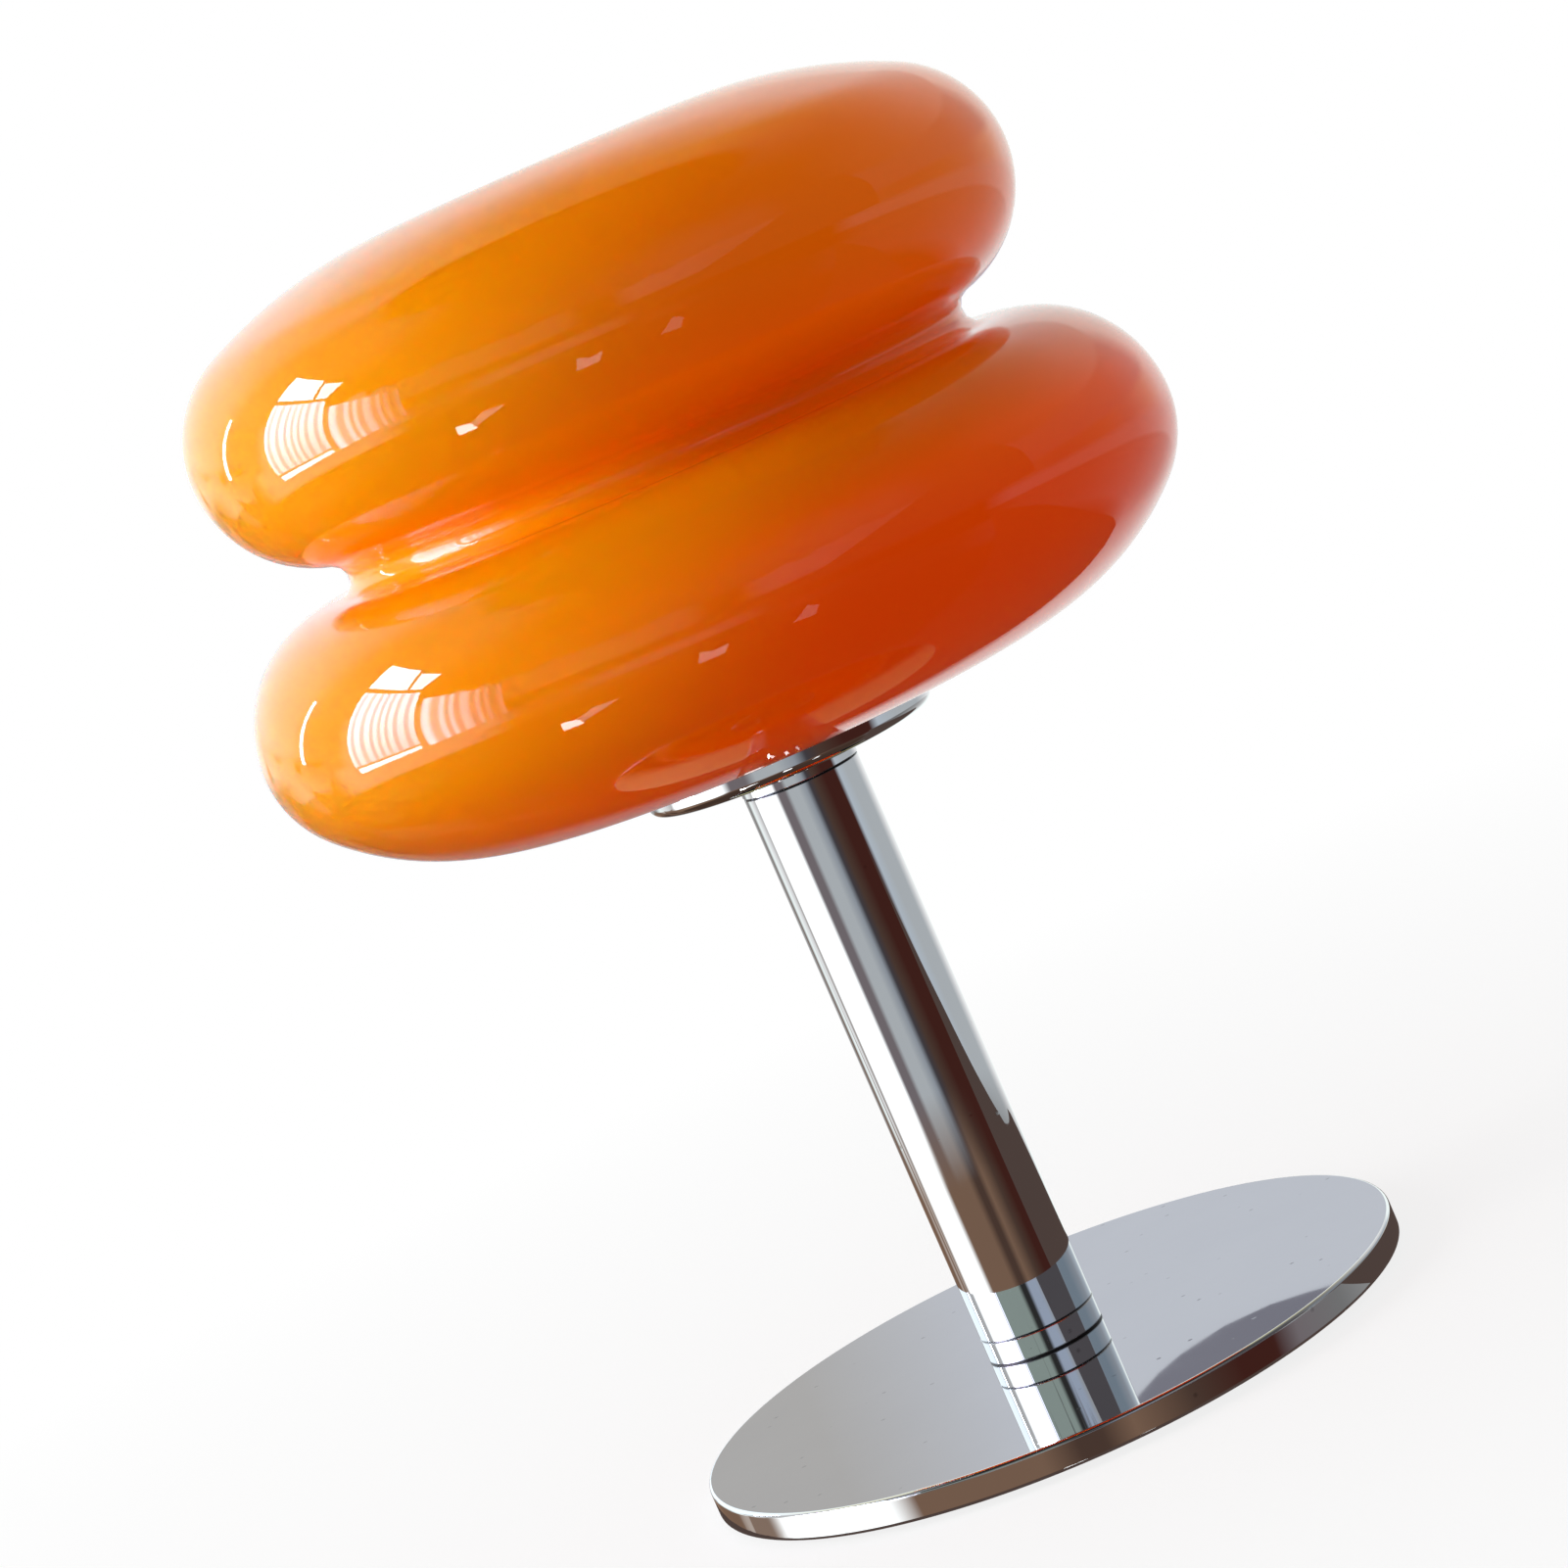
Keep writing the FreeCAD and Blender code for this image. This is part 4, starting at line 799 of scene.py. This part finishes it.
# %% Other metals, plastics, rubber, porcelain and bulb glass
METALS = [
    ("zinc_steel", (0.52, 0.53, 0.55), (0.66, 0.66, 0.66), (0.22, 0.36), 0.02 * MM),
    ("spring_steel", (0.46, 0.47, 0.50), (0.58, 0.59, 0.61), (0.20, 0.32), 0.02 * MM),
    ("brass", (0.68, 0.49, 0.20), (0.80, 0.62, 0.30), (0.14, 0.28), 0.0),
    ("nickel", (0.60, 0.59, 0.56), (0.70, 0.69, 0.66), (0.12, 0.24), 0.0),
]
MOULDED = [
    ("pad_rubber", (0.020, 0.020, 0.021), (0.040, 0.040, 0.042), (0.70, 0.90), 0.05 * MM),
    ("black_rubber", (0.012, 0.012, 0.013), (0.028, 0.028, 0.030), (0.40, 0.55), 0.02 * MM),
    ("clear_silicone", (0.70, 0.70, 0.67), (0.80, 0.80, 0.78), (0.30, 0.45), 0.01 * MM),
    ("holder_plastic", (0.80, 0.78, 0.72), (0.87, 0.86, 0.81), (0.35, 0.50), 0.01 * MM),
    ("porcelain", (0.82, 0.80, 0.75), (0.90, 0.89, 0.85), (0.45, 0.60), 0.03 * MM),
    ("connector_plastic", (0.66, 0.64, 0.56), (0.76, 0.74, 0.67), (0.30, 0.45), 0.01 * MM),
    ("bulb_plastic", (0.86, 0.86, 0.85), (0.92, 0.92, 0.91), (0.40, 0.55), 0.01 * MM),
    ("brown_insulation", (0.14, 0.050, 0.020), (0.20, 0.080, 0.035), (0.28, 0.40), 0.01 * MM),
    ("blue_insulation", (0.015, 0.070, 0.32), (0.030, 0.110, 0.42), (0.28, 0.40), 0.01 * MM),
    ("black_glass", (0.008, 0.008, 0.009), (0.016, 0.016, 0.018), (0.08, 0.15), 0.005 * MM),
    ("opal_glass", (0.88, 0.87, 0.84), (0.93, 0.92, 0.90), (0.30, 0.40), 0.003 * MM),
]
MOULDED_SCALES = {"smudge_scale": 60.0, "rub_scale": 1500.0}
NAMED_OTHERWISE = {"zinc_steel": "zinc_plate", "opal_glass": "bulb_opal"}

for slot, *looks in METALS:
    slot_finish[slot] = handled(NAMED_OTHERWISE.get(slot, slot), *looks, **METAL_SCALES, metallic=1.0)
for slot, *looks in MOULDED:
    slot_finish[slot] = handled(NAMED_OTHERWISE.get(slot, slot), *looks, **MOULDED_SCALES)
print("finishes", sorted(slot_finish))

# %% Give each CAD node its finish
STEM_NODES = ("foot_collar", "stem_tube", "top_collar")
for name, slot in SLOT_OF.items():
    finish = stem_chrome if name in STEM_NODES else slot_finish[slot]
    node = frame["nodes"][name]
    node.data.materials.clear()
    node.data.materials.append(finish)
    if name in made_for:
        made_for[name].data.materials.append(finish)
glass_shade.data.materials.append(opal_lining)
print("finished nodes", len(SLOT_OF), "and pieces", len(made_for))

# %% [markdown]
# ## Floor, daylight and the room in the mirror
# The picture is high key: a pale floor that fades to white, and one large window to the left. The
# window comes twice. A soft area light gives its light, and bright panes, which only reflections
# can see, give the shape that shows in the glass. The world is the rest of the room, also only
# for reflections and soft light: to the camera it is plain white.

# %% Floor
FLOOR_RADIUS = 12.0
FLOOR_TONE = (0.86, 0.86, 0.86)
WHITE_AT_LAMP = 0.84
FADE = (0.08, 0.50)


def make_floor():
    disc = bmesh.new()
    bmesh.ops.create_circle(disc, cap_ends=True, segments=96, radius=FLOOR_RADIUS)
    floor = new_object(disc, "floor")
    floor.visible_glossy = False
    floor.visible_diffuse = False

    material, shader = new_material("floor_paper")
    fill(shader, {"Base Color": FLOOR_TONE, "Roughness": 0.9, "Specular IOR Level": 0.0})
    distance = add(shader, "VectorMath", {0: on_object(shader)}, operation="LENGTH").outputs["Value"]
    white = add(shader, "Emission", {"Strength": 1.0}).outputs["Emission"]
    paper = either(ranged(distance, WHITE_AT_LAMP, 1.0, *FADE), shader.outputs["BSDF"], white)
    fill(material.node_tree.nodes["Material Output"], {"Surface": paper})
    material.cycles.emission_sampling = "NONE"
    floor.data.materials.append(material)
    print("floor of", FLOOR_RADIUS, "m, white from", FADE[1], "m on")


make_floor()

# %% [markdown]
# What a mirror shows can be placed by direction alone: a bearing, counted from the front to the
# right, and an elevation. Each card below is a flat shape far enough away in such a direction.

# %% Cards that only reflections can see
EYE = Vector((0, 0, 0.21))
WHITE = (1.0, 1.0, 1.0)


def far_off(bearing, elevation, distance):
    """Point at a distance from the shade's middle, in a direction given in degrees."""
    turn = math.radians(bearing)
    lift = math.radians(elevation)
    ray = Vector((math.sin(turn) * math.cos(lift), -math.cos(turn) * math.cos(lift), math.sin(lift)))
    return EYE + ray * distance


def glow(name, strength, tint=WHITE):
    """Emission in one tint; gives the material and its emission node."""
    material = bpy.data.materials.new(name)
    material.use_nodes = True
    material.node_tree.nodes.clear()
    light = add(material.node_tree, "Emission", {"Strength": strength, "Color": tint})
    add(light, "OutputMaterial", {"Surface": light.outputs["Emission"]})
    return material, light


def only_mirrored(outline, name, material):
    """Turn the bmesh into a card that only reflections can see."""
    card = new_object(outline, name)
    card.data.materials.append(material)
    card.visible_camera = False
    card.visible_diffuse = False
    card.visible_transmission = False
    card.visible_shadow = False
    print(name, "with", len(card.data.vertices), "corners")


def reflection_card(name, corners, material):
    """Flat card through its corners."""
    outline = bmesh.new()
    bmesh.ops.contextual_create(outline, geom=[outline.verts.new(corner) for corner in corners])
    only_mirrored(outline, name, material)


# %% [markdown]
# ### Window
# In a curved mirror, small marks are what makes a bright patch read as a window: the bars between
# its panes, the sill, and a thin curtain that hangs in folds, nearly closed before one pane and drawn
# aside before the other. The window's wall stands askew: its end towards the camera is further
# away, so the panes there are seen lower.

# %% Window panes and their curtain
WINDOW_DISTANCE = 1.2
MIDDLE_SHARE = 1.04
TURN_SHARE = 0.45
PANE_TINT = (0.75, 0.85, 1.0)
PANE_STRENGTH = 19.0
CURTAIN_TINT = (0.70, 0.78, 1.0)
CURTAIN_SHADE = (0.55, 0.36, 0.56)
FOLD_SHADE = (0.02, 0.015, 0.01)
THIN_FOLDS = (0.064, 0.31)
THIN_SHADED = (-0.2, 0.6)
DEEP_FOLDS = (0.085, 0.23)
FOLD_LIT = (-0.6, 0.8)
FOLD_DIMMEST = 0.38
FOLD_STRENGTH = 17.0
LOW_SHARE = 0.55
LOW_RANGE = (0.05, 0.55)
DRAWN_RANGE = (-0.275, -0.75)
DRAWN_DIMMEST = 0.12


def hanging(light, width, drift_width):
    """Wave across hanging cloth, whose folds grow wider and narrower by turns."""
    across = along(light, "Y")
    drift = calc("SINE", calc("MULTIPLY", across, math.tau / drift_width))
    return calc("SINE", calc("MULTIPLY_ADD", across, math.tau / width, drift))


def thin_curtain(name):
    """Bright pane behind a thin curtain with soft folds, dimmer low down."""
    material, light = glow(name, PANE_STRENGTH)
    shade = ranged(hanging(light, *THIN_FOLDS), 0.0, 1.0, *THIN_SHADED)
    rising = ranged(along(light, "Z"), PANE_STRENGTH * LOW_SHARE, PANE_STRENGTH, *LOW_RANGE)
    fill(light, {"Color": mixed(shade, CURTAIN_TINT, CURTAIN_SHADE), "Strength": rising})
    return material


def drawn_curtain(name):
    """Pane behind deep folds that hide more and more of it towards one side."""
    material, light = glow(name, FOLD_STRENGTH)
    fold = ranged(hanging(light, *DEEP_FOLDS), FOLD_DIMMEST, 1.0, *FOLD_LIT)
    fading = ranged(along(light, "Y"), 1.0, DRAWN_DIMMEST, *DRAWN_RANGE)
    fill(light, {"Color": mixed(calc("MULTIPLY", fold, fading), FOLD_SHADE, CURTAIN_TINT)})
    return material


def pane(name, left, right, bottom, top, material, tuck=0.0):
    """Pane at the lamp's left, from Y and Z in metres, lower where it is further off."""
    corners = [(left, bottom), (left, top), (right, top), (right + tuck, bottom)]
    seen = [(depth, EYE.z + (up - EYE.z) / (MIDDLE_SHARE - TURN_SHARE * depth)) for depth, up in corners]
    reflection_card(name, [Vector((-WINDOW_DISTANCE, depth, up)) for depth, up in seen], material)


clear_pane = glow("pane_clear", PANE_STRENGTH, PANE_TINT)[0]
pane("pane_upper_left", 0.26, -0.11, 0.83, 1.10, clear_pane)
pane("pane_upper_right", -0.135, -0.32, 0.83, 1.06, clear_pane, tuck=0.09)
pane("pane_lower_left", 0.26, -0.235, 0.065, 0.785, thin_curtain("pane_net"))
pane("pane_sill", 0.25, -0.23, -0.015, 0.040, clear_pane)
pane("pane_lower_right", -0.275, -0.85, -0.02, 0.69, drawn_curtain("pane_folds"))
pane("pane_far_left", 0.82, 0.77, 0.20, 0.60, clear_pane)

# %% Large and small shapes of the room
NEAR = 1.6
FAR = 5.0
DARK_TONE = (0.085, 0.078, 0.085)
ROOM_SHAPES = [
    ("dark_shape", [(14, -3), (26, 3), (56, 19), (70, 26), (77, 24), (80, 12), (80, -3)],
     NEAR, 1.0, DARK_TONE),
    ("glint_left", [(-53, -38), (-50, -31), (-46, -33), (-47, -39)], FAR, 16.0, WHITE),
    ("glint_left_tail", [(-47, -34), (-40, -29), (-33, -31), (-46, -37)], FAR, 2.6, WHITE),
    ("flag_middle", [(-12, -31), (-10, -21), (-7, -25), (-3, -24), (-5, -31)], FAR, 2.6, WHITE),
    ("flag_right", [(13, -31), (17, -21), (20, -25), (19, -32)], FAR, 1.2, WHITE),
]
for name, corners, distance, strength, tint in ROOM_SHAPES:
    placed = [far_off(*corner, distance) for corner in corners]
    reflection_card(name, placed, glow(name, strength, tint)[0])

# %% [markdown]
# ### What the base and the stem's foot mirror
# The flat base mirrors one small patch low behind the lamp, so a pale card stands just there, warmer
# at one end, with a violet shadow whose edge bends across the disc. The foot and the base's rim
# mirror what the lamp stands on: a brown card, and a disc right under the base.

# %% Low cards near the base
BASE_CARD_DISTANCE = 0.50
BASE_CARD = [(-0.16, 0.09), (-0.16, 0.19), (0.16, 0.19), (0.16, 0.09)]
WARM_TONE = (0.46, 0.45, 0.44)
BLUE_TONE = (0.565, 0.59, 0.645)
WARM_TO_BLUE = (-0.075, -0.010)
CRESCENT_DISTANCE = 0.49
CRESCENT_TONE = (0.20, 0.20, 0.24)
CRESCENT = [
    (0.018, 0.167), (0.030, 0.1605), (0.039, 0.1574), (0.055, 0.1545), (0.071, 0.1543),
    (0.083, 0.1557), (0.094, 0.1575), (0.104, 0.162), (0.104, 0.20), (0.018, 0.20),
]
TABLE_TONE = (0.085, 0.058, 0.050)
TABLE_HEIGHT = -0.5 * MM
TABLE_EDGE = [
    (0.066, -0.035), (0.750, -0.400), (0.452, -0.115), (0.350, -0.033), (0.260, 0.055), (0.225, 0.140),
    (0.205, 0.185), (0.182, 0.196), (0.154, 0.192), (0.119, 0.174), (0.091, 0.155), (0.069, 0.134),
    (0.043, 0.110), (0.0, 0.104), (-0.043, 0.110), (-0.043, -0.010),
]
UNDER_RADIUS = 0.081


def behind(distance, corners):
    """Corners of a card that stands behind the lamp, from X and Z in metres."""
    return [Vector((across, distance, up)) for across, up in corners]


graded, graded_light = glow("graded_card", 1.0)
across_base = ranged(along(graded_light, "X"), 0.0, 1.0, *WARM_TO_BLUE)
fill(graded_light, {"Color": mixed(across_base, WARM_TONE, BLUE_TONE)})
reflection_card("graded_card", behind(BASE_CARD_DISTANCE, BASE_CARD), graded)
violet = glow("violet_card", 1.0, CRESCENT_TONE)[0]
reflection_card("violet_card", behind(CRESCENT_DISTANCE, CRESCENT), violet)

table_tone = glow("table_tone", 1.0, TABLE_TONE)[0]
table_corners = [Vector((across, depth, TABLE_HEIGHT)) for across, depth in TABLE_EDGE]
reflection_card("table_card", table_corners, table_tone)
under_disc = bmesh.new()
bmesh.ops.create_circle(under_disc, cap_ends=True, segments=48, radius=UNDER_RADIUS,
                        matrix=Matrix.Translation((0, 0, TABLE_HEIGHT / 2)))
only_mirrored(under_disc, "under_card", table_tone)

# %% [markdown]
# ### Soft daylight
# A broad area light at the window does most of the work. Two weak ones stand for what the ceiling
# and the wall on the right throw back. Reflections show the panes and the room instead of them.

# %% Area lights
AREA_LIGHTS = [
    ("daylight", (-1.2, -0.15, 0.45), (0, 0, 0.2), (0.7, 1.0), 22.0),
    ("ceiling_bounce", (-0.2, 0.2, 1.6), (0, 0, 0.1), (1.4, 1.4), 2.4),
    ("wall_bounce", (1.2, 0.8, 0.5), (0, 0, 0.2), (1.0, 1.0), 2.0),
]
for name, place, target, size, power in AREA_LIGHTS:
    data = bpy.data.lights.new(name, "AREA")
    data.shape = "RECTANGLE"
    data.size, data.size_y = size
    data.energy = power
    light = bpy.data.objects.new(name, data)
    aim = (Vector(target) - Vector(place)).to_track_quat("-Z", "Y")
    light.matrix_world = Matrix.Translation(place) @ aim.to_matrix().to_4x4()
    light.visible_glossy = False
    scene.collection.objects.link(light)
    print(name, power, "W")

# %% [markdown]
# ### The room
# The rest of the room is a world made of rings of plain tones, one above the other, from the floor
# to the dark ceiling. Each ring goes once round by bearing, and passes into the next at a height.
# A picture of a room would do the same work, but tones can be named, and set one by one where a
# reflection needs them. An uneven edge high up and blots low down stand for small things that
# only blur in a mirror.

# %% Tones of the room
DAYLIGHT = (1.6, 1.65, 1.65)
WHITE_WALL = (1.0, 1.08, 1.06)
BRIGHT_WALL = (1.15, 1.28, 1.38)
PALE_BLUE = (0.48, 0.54, 0.60)
BLUE_GREY = (0.30, 0.33, 0.37)
STEEL_GREY = (0.20, 0.25, 0.30)
COOL_GREY = (0.45, 0.48, 0.50)
GREEN_GREY = (0.29, 0.35, 0.32)
LILAC = (0.37, 0.43, 0.54)
BAND_GREY = (0.36, 0.37, 0.38)
ASH = (0.18, 0.155, 0.165)
SHADOW = (0.055, 0.050, 0.058)
MAROON = (0.055, 0.016, 0.012)
DARK_WOOD = (0.075, 0.044, 0.033)
WOOD = (0.20, 0.12, 0.08)
WARM_WOOD = (0.30, 0.19, 0.13)
STONE = (0.32, 0.28, 0.21)
CREAM = (0.76, 0.70, 0.60)
TAN = (0.48, 0.40, 0.35)
DIM_CREAM = (0.50, 0.45, 0.20)
LIT_CREAM = (0.90, 0.85, 0.42)
NEAR_FLOOR = (0.060, 0.035, 0.025)
DARK_CEILING = (0.015, 0.015, 0.015)

# %% Rings: a bearing and a tone, or a number for a grey
FLOOR_RING = [
    (-180, 0.38), (-172, 0.30), (-165, DARK_WOOD), (-138, DARK_WOOD), (-125, WOOD), (-105, WARM_WOOD),
    (-90, WOOD), (-75, WOOD), (-60, DARK_WOOD), (58, DARK_WOOD), (76, ASH), (98, 0.19), (131, 0.38),
    (150, 0.60), (166, WHITE_WALL), (180, WHITE_WALL),
]
TABLE_RING = [
    (-180, 0.40), (-166, WARM_WOOD), (-150, WOOD), (-143, WOOD), (-136, TAN), (-122, TAN),
    (-110, DAYLIGHT), (-70, DAYLIGHT), (-58, WOOD), (-16, WOOD), (-4, DARK_WOOD), (4, DARK_WOOD),
    (14, WOOD), (34, DARK_WOOD), (52, MAROON), (66, MAROON), (76, ASH), (98, 0.19), (131, 0.36),
    (150, 0.60), (166, WHITE_WALL), (180, WHITE_WALL),
]
LOWER_RING = [
    (-180, 0.50), (-168, 0.50), (-156, 0.32), (-146, 0.32), (-137, WHITE_WALL), (-126, 0.85),
    (-118, 0.60), (-111, DAYLIGHT), (-62, DAYLIGHT), (-54, ASH), (-40, ASH), (-32, COOL_GREY),
    (-14, COOL_GREY), (0, BLUE_GREY), (9, SHADOW), (20, DARK_WOOD), (40, MAROON), (65, MAROON),
    (73, PALE_BLUE), (92, COOL_GREY), (125, COOL_GREY), (150, 0.85), (180, WHITE_WALL),
]
HORIZON_RING = [
    (-180, WHITE_WALL), (-165, BRIGHT_WALL), (-150, WHITE_WALL), (-137, WHITE_WALL), (-124, 0.55),
    (-111, 0.55), (-107, DAYLIGHT), (-66, DAYLIGHT), (-58, SHADOW), (66, SHADOW), (78, STONE),
    (92, ASH), (110, STONE), (125, BAND_GREY), (140, CREAM), (152, WHITE_WALL), (180, WHITE_WALL),
]
UPPER_RING = [
    (-180, WHITE_WALL), (-168, BRIGHT_WALL), (-132, BRIGHT_WALL), (-123, 0.52), (-110, 0.52),
    (-106, DAYLIGHT), (-66, DAYLIGHT), (-56, GREEN_GREY), (-11, GREEN_GREY), (-4, 0.03), (4, 0.03),
    (10, LILAC), (24, LILAC), (34, BAND_GREY), (72, BAND_GREY), (82, STEEL_GREY), (100, STEEL_GREY),
    (125, BLUE_GREY), (145, PALE_BLUE), (155, WHITE_WALL), (180, WHITE_WALL),
]
HIGH_RING = [
    (-180, WHITE_WALL), (-166, BRIGHT_WALL), (-132, BRIGHT_WALL), (-121, 0.65), (-107, 0.60),
    (-96, 0.50), (-78, 0.20), (-70, 0.08), (-30, 0.06), (0, 0.08), (15, 0.15), (30, 0.24), (48, 0.20),
    (60, 0.08), (72, 0.08), (80, 0.14), (105, 0.28), (120, 0.44), (135, 0.62), (155, 0.75),
    (180, WHITE_WALL),
]
TOP_RING = [
    (-180, DIM_CREAM), (-166, LIT_CREAM), (-155, LIT_CREAM), (-138, 0.90), (-120, 0.38), (-105, 0.30),
    (-75, 0.34), (-62, 0.15), (-50, 0.03), (50, 0.03), (80, 0.06), (105, 0.15), (125, 0.22),
    (160, DIM_CREAM), (180, DIM_CREAM),
]
EVEN_LAYERS = [
    (FLOOR_RING, -0.60, -0.50), (TABLE_RING, -0.34, -0.30), (LOWER_RING, -0.215, -0.195),
    (HORIZON_RING, -0.11, -0.05), (UPPER_RING, 0.04, 0.08),
]
UNEVEN_LAYERS = [(HIGH_RING, 0.29, 0.31), (TOP_RING, 0.46, 0.72)]
CEILING = (0.85, 0.89)
print("stops in the rings", [len(layer[0]) for layer in EVEN_LAYERS + UNEVEN_LAYERS])

# %% The world that mixes the rings
AMBIENT = [(-1.0, 0.05), (0.0, 0.12), (1.0, 0.18)]
EDGE_SCALE = 8.0
EDGE_HEIGHT = 0.06
EDGE_IN_FRONT = (-0.2, 0.3)
BLOT_SCALE = 5.0
BLOT_DEPTH = 0.8
BLOT_OUTLINE = (0.51, 0.55)
BLOTS_BEHIND = (0.40, 0.50)
BLOTS_LEFT = (-0.35, -0.25)
BLOTS_LOW = (0.0, 0.05)


def ramp(source, stops):
    """Colours along a ramp, from pairs of a position and a colour or grey."""
    node = add(source, "ValToRGB", {"Fac": source})
    elements = node.color_ramp.elements
    elements.remove(elements[1])
    elements[0].position = stops[0][0]
    for position, _ in stops[1:]:
        elements.new(position)
    for element, (_, tone) in zip(elements, stops):
        element.color = (*tone, 1) if isinstance(tone, tuple) else (tone, tone, tone, 1)
    return node.outputs["Color"]


def ring_layers(where, axes):
    """All rings, one above the other; the height of a direction runs from -1 to 1."""
    bearing = calc("ARCTAN2", axes["X"], calc("MULTIPLY", axes["Y"], -1.0))
    around = calc("MULTIPLY_ADD", bearing, 1 / math.tau, 0.5)
    edge = ranged(noise(where, EDGE_SCALE, detail=5.0, roughness=0.6), -EDGE_HEIGHT, EDGE_HEIGHT)
    uneven_height = calc("MULTIPLY_ADD", edge, ranged(axes["Y"], 1.0, 0.0, *EDGE_IN_FRONT), axes["Z"])

    room = NEAR_FLOOR
    for layers, height in ((EVEN_LAYERS, axes["Z"]), (UNEVEN_LAYERS, uneven_height)):
        for stops, start, end in layers:
            tones = ramp(around, [(angle / 360 + 0.5, tone) for angle, tone in stops])
            room = mixed(ranged(height, 0.0, 1.0, start=start, end=end), room, tones)
    return mixed(ranged(uneven_height, 0.0, 1.0, *CEILING), room, DARK_CEILING)


def low_blots(where, axes):
    """Share of the room that the blots hide, low down behind the lamp, on the window's side."""
    behind_lamp = ranged(axes["Y"], 0.0, 1.0, *BLOTS_BEHIND)
    corner = calc("MULTIPLY", behind_lamp, ranged(axes["X"], 1.0, 0.0, *BLOTS_LEFT))
    low_corner = calc("MULTIPLY", corner, ranged(axes["Z"], 1.0, 0.0, *BLOTS_LOW))
    blots = ranged(noise(where, BLOT_SCALE, detail=1.0), 0.0, BLOT_DEPTH, *BLOT_OUTLINE)
    return calc("MULTIPLY", low_corner, blots)


def make_room():
    world = bpy.data.worlds.new("room")
    world.use_nodes = True
    scene.world = world
    tree = world.node_tree
    tree.nodes.clear()
    where = add(tree, "TexCoord", {}).outputs["Generated"]
    axes = add(where, "SeparateXYZ", {"Vector": where}).outputs
    room = mixed(low_blots(where, axes), ring_layers(where, axes), WOOD)
    lift = ranged(axes["Z"], 0.0, 1.0, start=-1.0, end=1.0)
    ambient = ramp(lift, [((height + 1) / 2, tone) for height, tone in AMBIENT])
    soft, mirrored, plain = (add(tree, "Background", {"Color": colour}).outputs["Background"]
                             for colour in (ambient, room, WHITE))
    ray = add(tree, "LightPath", {}).outputs
    shown = either(ray["Is Camera Ray"], either(ray["Is Glossy Ray"], soft, mirrored), plain)
    add(tree, "OutputWorld", {"Surface": shown})
    print("world", world.name, "with", len(tree.nodes), "nodes")


make_room()

# %% [markdown]
# ## Colours
# A filmic view would grey the bright orange, so the plain one is used.

# %% Plain colours
scene.view_settings.view_transform = "Standard"
scene.view_settings.look = "None"
scene.view_settings.exposure = 0.0
scene.view_settings.gamma = 1.0
print("view transform", scene.view_settings.view_transform)
